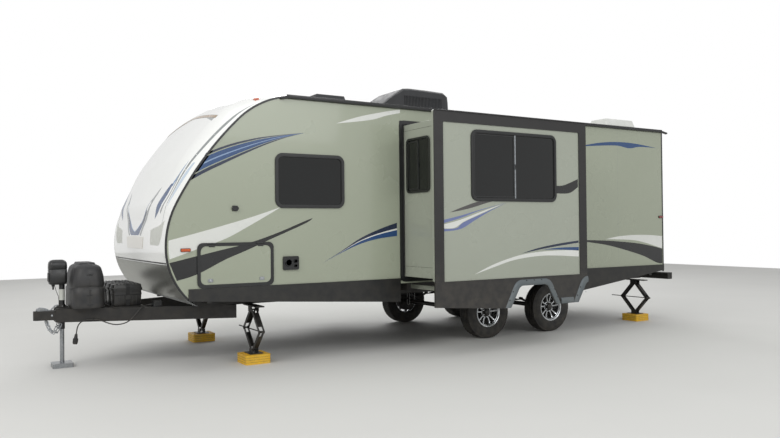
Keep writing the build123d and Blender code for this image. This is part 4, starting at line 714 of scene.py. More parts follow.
def makeBatteryBoxes():
    sizes = {"x": 0.608, "low": 0.6285, "base": (0.290, 0.200), "lid": (0.304, 0.212), "rim": 0.8035, "top": 0.868,
            "ribs": 7}
    for index, y in enumerate((-0.210, 0.020, 0.250)):
        x = sizes["x"]
        shape = bmesh.new()
        rings = []
        for z, grow in ((sizes["low"], -0.008), (sizes["low"] + 0.01, -0.004), (0.745, 0.0), (0.748, 0.003),
                        (0.764, 0.003), (0.766, 0.0), (sizes["rim"] - 0.001, 0.0)):
            halfX, halfY = sizes["base"][0] / 2 + grow - 0.002, sizes["base"][1] / 2 + grow - 0.003
            rings.append([Vector((u, v, z)) for u, v in around(x, y, halfX, halfY, 0.018, 4)])
        skin(shape, rings)
        rings = []
        for z, grow in ((sizes["rim"] - 0.012, -0.001), (sizes["rim"], 0.0), (sizes["rim"] + 0.016, 0.0),
                        (sizes["rim"] + 0.018, -0.005), (sizes["top"] - 0.018, -0.010),
                        (sizes["top"] - 0.010, -0.014), (sizes["top"] - 0.0075, -0.022)):
            halfX, halfY = sizes["lid"][0] / 2 + grow, sizes["lid"][1] / 2 + grow
            rings.append([Vector((u, v, z)) for u, v in around(x, y, halfX, halfY, 0.020, 4)])
        skin(shape, rings)
        makePiece("batteryBox_%d" % index, shape, "mouldedBlack", "trailer", "black_plastic",
                  ["battery_boxes"] if index == 0 else (), bevel=0.0015)
        makeRow("batteryRibs_%d" % index, shaped((block, (-0.0075, -0.090, 0), (0.0075, 0.090, 0.010))),
                "mouldedBlack", "trailer", "black_plastic", sizes["ribs"], (x - 0.105, y, sizes["top"] - 0.0105),
                (0.035, 0, 0), bevel=0.002)
        makeRow("batteryFins_%d" % index, shaped((block, (-0.004, -0.0992, sizes["low"] + 0.01),
                (0.004, 0.0992, 0.742))), "mouldedBlack", "trailer", "black_plastic", 5, (x - 0.09, y, 0),
                (0.045, 0, 0), bevel=0.0015)
        # Webbing strap over the lid, with its buckle
        strap = bmesh.new()
        path = [(0.104, sizes["low"] + 0.004), (0.1055, sizes["rim"] - 0.008), (0.1072, sizes["rim"] + 0.017),
                (0.1000, sizes["top"] - 0.010), (0.090, sizes["top"] - 0.0005), (0, sizes["top"] - 0.0002)]
        path += [(-v, z) for v, z in path[-2::-1]]
        skin(strap, [[Vector((x - 0.020 + w, y + v * s, z - (0.0018 if s < 1 else 0)))
                      for w, s in ((0, 0.985), (0.038, 0.985), (0.038, 1), (0, 1))] for v, z in path])
        makePiece("batteryStrap_%d" % index, strap, "rubberSeal", "trailer", "black_plastic", smooth=40)
        solid("batteryBuckle_%d" % index, "mouldedBlack", "black_plastic",
                (slab, roundedOutline(x - 0.026, x + 0.024, 0.70, 0.742, 0.006, 4), sidePoint(street), -y + 0.098,
                -y + 0.1068), bevel=0.0015)


def makeJack():
    # Electric tongue jack: gear housing in two parts, the tube with a bare band, the collar bolted to the A-frame
    sizes = {"head": (-0.131, 0.047, -0.075, 0.075), "z": (0.871, 1.132)}
    x0, x1, y0, y1 = sizes["head"]
    low, high = sizes["z"]
    shape = bmesh.new()
    for stations in ([(low, 0.022), (low + 0.006, 0.009), (low + 0.030, 0.002), (1.030, 0.0), (1.034, 0.003)],
                     [(1.034, 0.004), (1.038, 0.0), (high - 0.050, 0.001), (high - 0.026, 0.006),
                      (high - 0.010, 0.018), (high, 0.040)]):
        skin(shape, [[Vector((x, y, z)) for x, y in roundedOutline(x0 + inset, x1 - inset, y0 + inset, y1 - inset,
                0.030, 6)] for z, inset in stations])
    makePiece("jackHead", shape, "mouldedBlack", "trailer", "black_plastic", ["jack_housing"], smooth=50)
    tubeRun = ((0.400, 0.0235), (0.400, 0.0283), (0.402, 0.0285), (0.880, 0.0285), (0.880, 0.0235))
    bandRun = ((0.705, 0.0286), (0.705, 0.0292), (0.820, 0.0292), (0.820, 0.0286))
    collarRun = ((0.6285, 0.0287), (0.6285, 0.0570), (0.6375, 0.0575), (0.6400, 0.0560), (0.6405, 0.0360),
                 (0.660, 0.0330), (0.661, 0.0287))
    solid("jackTube", "trimBlack", "black_steel", (hoop, tubeRun, 36))
    solid("jackBand", "plainVinyl", "vent_white", (hoop, bandRun, 36))
    solid("jackCollar", "chassisPaint", "black_steel", (hoop, collarRun, 48), smooth=30)
    for index, angle in enumerate((30, 150, 270)):
        solid("jackBolt_%d" % index, "zincSteel", "zinc_steel", (turned,
                [(0, 0.010), (0.002, 0.010), (0.0022, 0.0078), (0.0085, 0.0078), (0.009, 0.0070)],
                (0.047 * math.cos(math.radians(angle)), 0.047 * math.sin(math.radians(angle)), 0.6395), (0, 0, 1),
                6), bevel=0.0006)
    # Switch cover with its switches on the head, and the stub of the drive below it
    solid("jackSwitchCover", "rubberSeal", "black_plastic", (slab, roundedOutline(-0.060, 0.060, 0.905, 0.995,
            0.012, 5), endPoint, -0.1335, -0.128), bevel=0.001)
    for index, y in enumerate((-0.030, 0.0, 0.030)):
        solid("jackSwitch_%d" % index, "mouldedBlack", "black_plastic",
                (turned, [(0, 0.009), (0.0025, 0.009), (0.004, 0.007)], (-0.1330, y, 0.950), (-1, 0, 0), 16))
    solid("jackStub", "mouldedBlack", "black_plastic", (turned, [(0, 0.016), (0.018, 0.016), (0.022, 0.0095),
            (0.052, 0.0085), (0.056, 0.006)], (-0.085, 0.0, low + 0.002), (0.0, 0, -1), 16))
    solid("jackLead", "cableJacket", "black_plastic", (tube, [(-0.075, -0.03, low + 0.004), (-0.072, -0.032, 0.85),
            (-0.058, -0.030, 0.80), (-0.036, -0.020, 0.745), (-0.0315, -0.012, 0.70), (-0.031, -0.010, 0.655)],
            0.0028, 8))


makeBottleCover()
makeBatteryBoxes()
makeJack()
print("tongue done")


def smoothRun(points, count):
    # Catmull-Rom run through the points, divided evenly
    if len(points) == 2:
        (a, b), (c, d) = points
        return [(a + (c - a) * i / count, b + (d - b) * i / count) for i in range(count + 1)]
    ends = [points[0]] + list(points) + [points[-1]]
    result = []
    for i in range(count + 1):
        place = i / count * (len(points) - 1)
        k = min(int(place), len(points) - 2)
        t = place - k
        p, q, r, s = ends[k:k + 4]
        result.append(tuple(0.5 * (2 * b + (c - a) * t + (2 * a - 5 * b + 4 * c - d) * t * t
                                + (3 * b - a - 3 * c + d) * t ** 3) for a, b, c, d in zip(p, q, r, s)))
    return result


def film(name, upper, lower, material, place, body="trailer", lift=0.0004, share=(0, 1), steps=28, across=1,
         sunk=0.0006):
    # Cut vinyl, and the cap's sheets painted as shade, between two edges that run side by side; share picks a sliver
    # of the width
    upper, lower = smoothRun(upper, steps), smoothRun(lower, steps)
    shape = bmesh.new()
    rows = []
    for (a, b), (c, d) in zip(upper, lower):
        rows.append([(a + (c - a) * t, b + (d - b) * t) for t in
                     (share[0] + (share[1] - share[0]) * j / across for j in range(across + 1))])
    rings = []
    for row in rows:
        rings.append([place(u, v, lift) for u, v in row] + [place(u, v, -sunk) for u, v in reversed(row)])
    skin(shape, rings)
    return makePiece(name, shape, material, body, "vent_white", smooth=25)


def wallPlace(u, v, w):
    return Vector((u, -(bodyHalf + w), v))


def doorWallPlace(u, v, w):
    return Vector((u, bodyHalf + w, v))


def slidePlace(u, v, w):
    # The slide-out room's front panel: u along the trailer, v up, w outward
    return Vector((u, -(slideFace + w), v))


def profileArcs():
    # The side view's outline as (centre x, centre z, radius, first heading, turn), from the roof forward
    nose, brow, slope = (0.764, 1.264), (0.955, 27.3), (3.535, 17.8)
    browHeading, slopeHeading = 90 - brow[1], 90 - brow[1] - slope[1]
    rise, flat = math.radians(browHeading), math.radians(slopeHeading)
    browCentre = (nose[0] + brow[0], nose[1])
    browEnd = (browCentre[0] - math.sin(rise) * brow[0], browCentre[1] + math.cos(rise) * brow[0])
    slopeCentre = (browEnd[0] + math.sin(rise) * slope[0], browEnd[1] - math.cos(rise) * slope[0])
    slopeEnd = (slopeCentre[0] - math.sin(flat) * slope[0], slopeCentre[1] + math.cos(flat) * slope[0])
    roofRadius = (roofEdge - slopeEnd[1]) / (1 - math.cos(flat))
    roofCentre = (slopeEnd[0] + math.sin(flat) * roofRadius, slopeEnd[1] - math.cos(flat) * roofRadius)
    lip = 0.748
    lipTurn = math.degrees(math.asin((nose[1] - 0.736) / lip))
    return ((*roofCentre, roofRadius, 0, slopeHeading), (*slopeCentre, slope[0], slopeHeading, slope[1]),
            (*browCentre, brow[0], browHeading, brow[1]), (nose[0] + lip, nose[1], lip, 90, lipTurn))


def profileRun(inset, spacing=0.05):
    points = []
    for x, z, radius, heading, turn in profileArcs():
        steps = max(4, int(math.radians(turn) * radius / spacing))
        for step in range(steps + (heading == 90)):
            angle = math.radians(heading + turn * step / steps)
            points.append((x - math.sin(angle) * (radius - inset), z + math.cos(angle) * (radius - inset)))
    return points


def crownedLine(crown, fullness):
    # Line across the body as (across, rise): a middle arc, and a shoulder arc on each side that runs into it
    shoulder = 0.72 * bodyHalf
    edge = crown * (1 - 0.72 ** 2 + fullness)
    sag = crown - edge
    radius = (shoulder ** 2 + sag ** 2) / (2 * sag)
    tilt = math.asin(shoulder / radius)
    middle = [(radius * math.sin(tilt * share / 20), crown - radius * (1 - math.cos(tilt * share / 20)))
            for share in range(-20, 21)]
    # The shoulder's circle touches the middle arc at its end and passes through the wall's edge
    reach, drop = bodyHalf - shoulder, -edge
    normal = (-math.sin(tilt), -math.cos(tilt))
    small = (reach ** 2 + drop ** 2) / (2 * (reach * normal[0] + drop * normal[1]))
    centre = (shoulder + normal[0] * small, edge + normal[1] * small)
    start = math.atan2(edge - centre[1], shoulder - centre[0])
    end = math.atan2(-centre[1], bodyHalf - centre[0])
    turn = (end - start + math.pi) % (2 * math.pi) - math.pi
    arc = [(centre[0] + abs(small) * math.cos(start + turn * step / 14),
            centre[1] + abs(small) * math.sin(start + turn * step / 14)) for step in range(1, 15)]
    return [(-y, rise) for y, rise in reversed(arc)] + middle + arc


def capCrown(heading):
    # Crown of the front moulding: heading from the roof forward, rise of the middle, fullness of the shoulders
    table = ((0, 0.090, 0.0), (15, 0.112, 0.12), (30, 0.150, 0.26), (45, 0.172, 0.32), (54, 0.146, 0.32),
            (63, 0.085, 0.25), (76, 0.032, 0.1), (90, 0.016, 0.0))
    for low, high in zip(table, table[1:]):
        if heading <= high[0]:
            share = (heading - low[0]) / (high[0] - low[0])
            share = share * share * (3 - 2 * share)
            return [a + (b - a) * share for a, b in zip(low[1:], high[1:])]
    return table[-1][1:]


def makeFrontShell(name, low, high, material, slot, node):
    # Moulded shell between two headings of the profile, crowned across, as thick as the solid that it replaces
    shape = bmesh.new()
    rings = []
    count = max(6, round((high - low) / 1.5))
    for step in range(count + 1):
        heading = low + (high - low) * step / count
        for x, z, radius, start, turn in profileArcs():
            if heading <= start + turn + 0.001:
                break
        angle = math.radians(heading)
        out = (-math.sin(angle), math.cos(angle))
        line = crownedLine(*capCrown(heading))
        rings.append([Vector((x + out[0] * (radius + rise - thick), y, z + out[1] * (radius + rise - thick)))
                      for thick, run in ((0, line), (0.030, reversed(line))) for y, rise in run])
    skin(shape, rings)
    return makePiece(name, shape, material, "trailer", slot, [node], smooth=30)


noseZ, lipRadius, guardTop, lipZ = 1.264, 0.748, 1.090, 0.736
guardTurn = math.degrees(math.asin((noseZ - guardTop) / lipRadius))
capShell = makeFrontShell("capShell", 0, 90 + guardTurn, "capGelcoat", "cap_gelcoat", "front_cap")
makeFrontShell("guardShell", 90 + guardTurn + 0.3, 90 + math.degrees(math.asin((noseZ - lipZ) / lipRadius)),
        "brushedGuard", "rock_guard", "rock_guard")
solid("bellyFlashing", "galvanised", "rock_guard", (skin, [[Vector((x, y, z))
        for x, z in ((0.986, 0.735), (0.988, 0.737), (1.082, 0.674), (1.098, 0.674), (1.098, 0.672),
        (1.080, 0.672))] for y in (-1.185, 1.185)]), bevel=0.0006)
capTree = BVHTree.FromObject(capShell, bpy.context.evaluated_depsgraph_get())


def capPlace(u, v, w):
    # u across, v up: the place on the cap that is seen from the front, w off its surface
    place, normal = capTree.ray_cast(Vector((-1, u, v)), Vector((1, 0, 0)))[:2]
    return place + normal * w


def makeSideGraphics():
    # Fan of blue slivers that starts at the cap's trim and runs to a point
    fanTop = [(1.183, 2.208), (1.419, 2.304), (1.699, 2.383), (1.968, 2.432), (2.271, 2.474)]
    fanLow = [(0.985, 1.905), (1.168, 2.009), (1.375, 2.112), (1.589, 2.217), (1.81, 2.318), (2.037, 2.405),
            (2.271, 2.474)]
    for index, (low, high, material) in enumerate(((0, 0.12, "navyVinyl"), (0.17, 0.42, "blueVinyl"),
            (0.42, 0.49, "lightBlueVinyl"),
                                                   (0.49, 0.74, "blueVinyl"), (0.80, 1, "navyVinyl"))):
        film("fan_%d" % index, fanTop, fanLow, material, wallPlace, share=(low, high), steps=36)
        film("fanDoor_%d" % index, fanTop, fanLow, material, doorWallPlace, share=(low, high), steps=36)
    # The same swooshes on both walls: lower white, black and the stripe by the slide-out room's hole
    whiteTop = [(0.775, 1.324), (1.062, 1.397), (1.371, 1.48), (1.693, 1.572), (1.985, 1.668)]
    whiteLow = [(0.797, 1.142), (1.061, 1.233), (1.37, 1.338), (1.627, 1.468), (1.848, 1.589), (1.985, 1.668)]
    blackTop = [(0.808, 1.111), (1.101, 1.177), (1.369, 1.236), (1.625, 1.292), (1.937, 1.392), (2.263, 1.518),
            (2.358, 1.55)]
    blackLow = [(0.880, 0.934), (1.08, 0.99), (1.368, 1.128), (1.581, 1.211), (1.846, 1.32), (2.262, 1.49),
            (2.358, 1.55)]
    bladeTop = [(2.469, 1.057), (2.71, 1.185), (2.942, 1.318), (3.19, 1.418), (3.438, 1.495)]
    bladeLow = [(2.469, 1.057), (2.71, 1.165), (2.942, 1.255), (3.19, 1.312), (3.438, 1.339)]
    hole = (1.094, 1.881, 0.860, 1.288)
    for name, place in (("street", wallPlace), ("door", doorWallPlace)):
        film("whiteSwoosh_" + name, whiteTop, whiteLow, "whiteVinyl", place, lift=0.0003, steps=32)
        piece = film("blackSwoosh_" + name, blackTop, blackLow, "blackVinyl", place, lift=0.0005, steps=40)
        cutHole(piece, (hole[0], -1.3, hole[2]), (hole[1], 1.3, hole[3]))
        for index, (low, high, material) in enumerate(((0, 0.42, "navyVinyl"), (0.55, 1, "blueVinyl"),
                (0.42, 0.55, "whiteVinyl"))):
            film("blade_%s_%d" % (name, index), bladeTop, bladeLow, material, place, share=(low, high))
        film("topSliver_" + name, [(2.65, 2.601), (2.957, 2.701), (3.303, 2.784), (3.495, 2.822)],
             [(2.65, 2.601), (3.087, 2.670), (3.303, 2.735), (3.495, 2.781)], "whiteVinyl", place)
    # The part of the black swoosh that crosses the storage door moves with the door
    for name, side, body in (("Street", -1, "storage_door_street"), ("Door", 1, "storage_door_far")):
        piece = film("blackSwooshOnHatch" + name, blackTop, blackLow, "blackVinyl",
                     lambda u, v, w: Vector((u, side * (bodyHalf + doorFace + w), v)), body=body, steps=40)
        keepInside(piece, (hole[0] + 0.006, -1.3, hole[2] + 0.006), (hole[1] - 0.006, 1.3, hole[3] - 0.006))
    # Slide-out room's front panel
    for name, material, upper, lower in (
            ("brown", "brownVinyl", [(3.70, 1.598), (3.878, 1.66), (4.135, 1.73), (4.38, 1.744)],
             [(3.70, 1.598), (3.962, 1.642), (4.251, 1.715), (4.38, 1.744)]),
            ("topBlue", "lilacVinyl", [(3.601, 1.515), (3.848, 1.564), (4.163, 1.639), (4.551, 1.723)],
             [(3.6, 1.476), (3.848, 1.537), (4.133, 1.623), (4.551, 1.723)]),
            ("white", "whiteVinyl", [(3.6, 1.463), (3.848, 1.518), (4.133, 1.605), (4.459, 1.699)],
             [(3.6, 1.423), (3.763, 1.428), (3.9, 1.497), (4.162, 1.594), (4.459, 1.699)]),
            ("lowBlue", "lilacVinyl", [(3.6, 1.417), (3.791, 1.426), (3.889, 1.488), (4.162, 1.587), (4.52, 1.713)],
             [(3.599, 1.388), (3.846, 1.414), (4.05, 1.51), (4.25, 1.605), (4.52, 1.713)]),
            ("black", "blackVinyl", [(5.315, 1.929), (5.455, 1.942), (5.688, 2.022)],
             [(5.315, 1.836), (5.539, 1.845), (5.688, 1.922)]),
            ("navy", "navyVinyl", [(4.742, 1.116), (5.012, 1.176), (5.342, 1.222), (5.688, 1.254)],
             [(4.742, 1.116), (5.077, 1.163), (5.341, 1.193), (5.688, 1.228)]),
            ("deepBlue", "blueVinyl", [(5.076, 1.155), (5.374, 1.173), (5.688, 1.173)],
             [(5.076, 1.155), (5.374, 1.148), (5.688, 1.129)]),
            ("arc", "whiteVinyl", [(4.037, 0.898), (4.27, 0.987), (4.51, 1.055), (4.757, 1.104), (5.011, 1.128),
             (5.34, 1.139),
                                   (5.688, 1.136)],
             [(4.037, 0.898), (4.329, 0.973), (4.632, 1.044), (5.011, 1.08), (5.339, 1.076), (5.688, 1.054)])):
        film("room_" + name, upper, lower, material, slidePlace, body="slide_room")
    # Behind the slide-out room
    for name, place in (("street", wallPlace), ("door", doorWallPlace)):
        film("rearBlue_" + name, [(6.545, 2.562), (6.845, 2.611), (7.188, 2.639), (7.579, 2.636), (8.06, 2.594)],
             [(6.545, 2.546), (7.152, 2.587), (7.452, 2.561), (7.688, 2.594), (8.06, 2.594)], "blueVinyl", place)
        film("rearWhite_" + name, [(6.937, 1.245), (7.196, 1.281), (7.516, 1.296), (7.845, 1.292), (8.155, 1.272)],
             [(6.937, 1.245), (7.195, 1.238), (7.55, 1.218), (7.843, 1.163), (8.155, 1.086)], "whiteVinyl", place)
        film("rearBlack_" + name, [(6.553, 1.239), (7.022, 1.22), (7.549, 1.179), (7.879, 1.135), (8.155, 1.084)],
                [(6.553, 1.212), (6.952, 1.162), (7.368, 1.076), (7.728, 0.986), (8.02, 0.880), (8.155, 0.862)],
                "blackVinyl", place)


def boxMesh(low, high):
    shape = bmesh.new()
    block(shape, low, high)
    return placeObject("cutter", plainMesh("cutter", shape))


def applyBoolean(piece, cutter, operation):
    change = piece.modifiers.new("cut", "BOOLEAN")
    change.operation, change.object, change.solver = operation, cutter, "EXACT"
    evaluated = piece.evaluated_get(bpy.context.evaluated_depsgraph_get())
    mesh = bpy.data.meshes.new_from_object(evaluated)
    piece.modifiers.remove(change)
    piece.data = mesh
    bpy.data.objects.remove(cutter)


def cutHole(piece, low, high):
    applyBoolean(piece, boxMesh(low, high), "DIFFERENCE")


def keepInside(piece, low, high):
    applyBoolean(piece, boxMesh(low, high), "INTERSECT")


makeSideGraphics()
print("side graphics done")


def makeCapGraphicsAndPaintedShade():
    # Everything on the cap is the same left and right: tables give the right half as (off the middle, height)
    def half(sign):
        return lambda u, v, w: capPlace(sign * u, v, w)

    tables = (("vPoint", "blueVinyl", [(0.0, 1.380), (0.10, 1.381), (0.20, 1.388), (0.31, 1.470)],
            [(0.0, 1.412), (0.10, 1.440), (0.20, 1.482), (0.31, 1.545)], 24, 3),
            ("vBlue", "navyVinyl", [(0.30, 1.462), (0.355, 1.512), (0.41, 1.572), (0.45, 1.612)],
            [(0.30, 1.532), (0.355, 1.584), (0.41, 1.635), (0.45, 1.668)], 16, 2),
            ("vArm", "greyVinylAndPaintedShade", [(0.44, 1.602), (0.52, 1.672), (0.60, 1.748), (0.66, 1.815), (0.70, 1.885)],
            [(0.44, 1.658), (0.50, 1.718), (0.56, 1.778), (0.63, 1.838), (0.70, 1.885)], 20, 1),
            ("vEdge", "lightBlueVinyl", [(0.0, 1.412), (0.10, 1.440), (0.20, 1.482), (0.31, 1.545), (0.437, 1.656),
            (0.56, 1.778)], [(0.0, 1.420), (0.10, 1.449), (0.20, 1.492), (0.31, 1.556), (0.437, 1.668),
            (0.56, 1.778)], 32, 1), ("vShade", "greyVinylAndPaintedShade", [(0.235, 1.382), (0.33, 1.472), (0.45, 1.600),
            (0.56, 1.722), (0.66, 1.860)], [(0.290, 1.374), (0.385, 1.462), (0.49, 1.578), (0.59, 1.704),
            (0.67, 1.860)], 24, 2), ("edgeBlue", "paleVinyl", [(1.098, 1.660), (1.092, 1.800), (1.112, 1.950),
            (1.150, 2.110)], [(1.098, 1.660), (1.128, 1.800), (1.156, 1.950), (1.172, 2.110)], 24, 2),
            ("streakLow", "blueVinyl", [(0.775, 1.549), (0.800, 1.66), (0.865, 1.790), (0.965, 1.905)],
            [(0.775, 1.549), (0.905, 1.64), (0.975, 1.765), (1.005, 1.905)], 24, 3),
            ("streakHigh", "lightBlueVinyl", [(0.975, 1.875), (1.020, 1.965), (1.050, 2.05), (1.078, 2.14)],
            [(1.015, 1.875), (1.048, 1.965), (1.066, 2.05), (1.078, 2.14)], 24, 1),
            ("streakShade", "greyVinylAndPaintedShade", [(0.935, 1.62), (1.000, 1.72), (1.035, 1.86), (1.040, 2.00)],
            [(0.960, 1.60), (1.022, 1.71), (1.050, 1.86), (1.056, 2.00)], 20, 1),
            # groove: a grey film laid along the cap's moulded groove, painted as the groove's shadow line
            ("groove", "greyVinylAndPaintedShade", [(1.043, 1.500), (1.060, 1.634), (1.072, 1.834), (1.084, 1.996), (1.116, 2.242),
            (1.140, 2.420), (1.160, 2.560), (1.196, 2.740)], [(1.049, 1.500), (1.069, 1.634), (1.087, 1.834),
            (1.106, 1.996), (1.148, 2.242), (1.172, 2.420), (1.188, 2.560), (1.200, 2.740)], 56, 1),
            ("barEnd", "greyVinylAndPaintedShade", [(0.683, 2.642), (0.80, 2.628), (0.931, 2.610)],
            [(0.683, 2.640), (0.83, 2.605), (0.925, 2.580)], 12, 1), ("cornerLens", "plainVinyl",
            [(0.690, 1.437), (0.84, 1.460), (0.969, 1.478), (1.118, 1.530)],
            [(0.682, 1.283), (0.85, 1.281), (1.018, 1.288), (1.104, 1.392)], 20, 6), )
    for sign, tag in ((-1, "Street"), (1, "Door")):
        for name, material, upper, lower, steps, across in tables:
            film("cap_" + name + tag, upper, lower, material, half(sign), steps=steps, across=across,
                 lift=0.0009 if name in ("streakShade", "vEdge") else 0.0006, sunk=0.0004)
    # Slim lamp bar that arches over the cap, in its dark channel
    arch = [(-0.955, 2.641), (-0.713, 2.676), (-0.375, 2.715), (0.0, 2.742), (0.375, 2.715), (0.713, 2.676),
            (0.955, 2.641)]
    film("capLampChannel", arch, [(u, v - 0.034) for u, v in arch], "greyVinylAndPaintedShade", capPlace, steps=60, across=2,
            lift=0.001)
    film("capLampLens", [(u * 0.995, v - 0.005) for u, v in arch], [(u * 0.995, v - 0.031) for u, v in arch],
            "lensSmoke", capPlace, steps=60, across=2, lift=0.003, sunk=0.001)
    # Shallow ledge low in the middle, painted darker as the shade of the recess, and the bead over the rock guard
    ledge = [(-0.40, 1.362), (-0.20, 1.368), (0.0, 1.370), (0.20, 1.368), (0.40, 1.362)]
    film("capLedge", ledge, [(u * 0.9, 1.236) for u, v in ledge], "capRecessPaintedShade", capPlace, steps=32, across=6,
            lift=0.005)
    bead = [(-1.205, 1.112), (-0.6, 1.112), (0.0, 1.112), (0.6, 1.112), (1.205, 1.112)]
    film("capBead", bead, [(u, 1.098) for u, v in bead], "trimBlack", capPlace, steps=48, across=2, lift=0.003)
    for sign, tag in ((-1, "Street"), (1, "Door")):
        film("capMarker" + tag, [(sign * 1.105, 2.824), (sign * 1.150, 2.806)],
                [(sign * 1.100, 2.808), (sign * 1.145, 2.790)], "lensAmber", capPlace, steps=6, across=3, lift=0.012)


def makeEdges():
    for side, tag in ((street, "Street"), (doorSide, "Door")):
        for name, insets, low, high, material, bevel in (
                ("edgeTrim", (-0.0005, 0.021), -0.004, 0.0042, "trimBlack", 0.0012),
                ("edgeLaminate", (0.019, 0.036), -0.001, 0.0004, "wallLaminate", None)):
            outer, inner = profileRun(insets[0]), profileRun(insets[1])
            solid(name + tag, material, "dark_skirt" if bevel else "wall_skin",
                    (skin, [[Vector((a[0], side * (bodyHalf + low), a[1])),
                    Vector((b[0], side * (bodyHalf + low), b[1])), Vector((b[0], side * (bodyHalf + high), b[1])),
                    Vector((a[0], side * (bodyHalf + high), a[1]))] for a, b in zip(outer, inner)]), bevel=bevel)
        # Roof rail with its rain gutter, and the spouts at both ends of it
        section = [(-0.001, 2.8705), (0.004, 2.874), (0.012, 2.872), (0.013, 2.842), (0.030, 2.838), (0.033, 2.852),
                (0.036, 2.852), (0.034, 2.832), (0.012, 2.826), (-0.001, 2.826)]
        shape = bmesh.new()
        skin(shape, [[Vector((x, side * (bodyHalf + out), z)) for out, z in section]
                for x in (2.06, rearWall - 0.002)])
        for x0, x1 in ((1.985, 2.065), (rearWall - 0.006, rearWall + 0.085)):
            skin(shape, [[Vector((x, side * (bodyHalf + out), z - drop))
                    for out, z in ((0.003, 2.846), (0.008, 2.849), (0.010, 2.840), (0.032, 2.838), (0.034, 2.850),
                    (0.038, 2.849), (0.036, 2.828), (0.003, 2.826))] for x, drop in ((x0, 0.016 if x0 < 3 else 0),
                    (x1, 0 if x0 < 3 else 0.016))])
        makePiece("roofRail" + tag, shape, "trimBlack", "trailer", "dark_skirt", bevel=0.0008)
        # Rear corner trim
        shape = bmesh.new()
        outline = [(rearWall - 0.018, side * (bodyHalf + 0.0042)), (rearWall + 0.004, side * (bodyHalf + 0.0042)),
                (rearWall + 0.004, side * (bodyHalf - 0.022)), (rearWall - 0.0005, side * (bodyHalf - 0.022)),
                (rearWall - 0.0005, side * (bodyHalf - 0.0005)), (rearWall - 0.018, side * (bodyHalf - 0.0005))]
        skin(shape, [[Vector((x, y, z)) for x, y in outline] for z in (0.742, 2.872)])
        makePiece("rearCornerTrim" + tag, shape, "trimBlack", "trailer", "dark_skirt", bevel=0.001)
        # Faint joint of the wall's sheets near the rear, and screws through the rail's face
        solid("wallJoint" + tag, "greyVinylAndPaintedShade", "wall_skin", (slab, [(7.199, 0.875), (7.201, 0.875), (7.201, 2.822),
                (7.199, 2.822)], sidePoint(side), bodyHalf - 0.001, bodyHalf + 0.0002))
        makeRow("railScrews" + tag, screwShape(side), "trimBlack", "trailer", "dark_skirt", 40,
                (2.14, side * (bodyHalf + 0.0125), 2.857), (0.152, 0, 0))
    # Trim over the roof's rear edge
    shape = bmesh.new()
    across = [(-bodyHalf + 2 * bodyHalf * i / 24) for i in range(25)]
    crown = [2.872 + 0.09 * (1 - (y / bodyHalf) ** 2) for y in across]
    skin(shape, [[Vector((rearWall - 0.03, y, z - 0.004)), Vector((rearWall + 0.005, y, z - 0.004)),
            Vector((rearWall + 0.005, y, z - 0.040)), Vector((rearWall - 0.0005, y, z - 0.040)),
            Vector((rearWall - 0.0005, y, z - 0.002)), Vector((rearWall - 0.03, y, z))]
            for y, z in zip(across, crown)])
    makePiece("roofRearTrim", shape, "trimBlack", "trailer", "dark_skirt", bevel=0.001)


def screwShape(side):
    shape = bmesh.new()
    turned(shape, [(-0.001, 0.0052), (0.0012, 0.0050), (0.0024, 0.0034)], (0, 0, 0), (0, side, 0), 10)
    return shape


makeCapGraphicsAndPaintedShade()
makeEdges()
print("cap and edges done")


def pointsTree(material):
    # Copies of an object at the vertices of another
    tree, given = newTree("placesOf", (("Piece", "NodeSocketObject"), ("Places", "NodeSocketObject")))
    places = addNode(tree, "GeometryNodeObjectInfo", None, {"Object": given.outputs["Places"]})
    placed = addNode(tree, "GeometryNodeInstanceOnPoints", None, {"Points": places.outputs["Geometry"],
                                                                  "Instance": copyOf(given)})
    realize(tree, placed.outputs[0], material)
    return tree


def makeCopies(name, shape, finish, body, slot, places):
    pattern = patternOf(name + "Pattern", shape)
    mesh = bpy.data.meshes.new(name + "Places")
    mesh.from_pydata([tuple(place) for place in places], [], [])
    spots = placeObject(name + "Places", mesh)
    copies = growCopies(name, pointsTree(materials[finish]), {"Piece": pattern, "Places": spots})
    bpy.data.objects.remove(pattern)
    bpy.data.objects.remove(spots)
    return placePiece(name, copies, finish, body, slot)


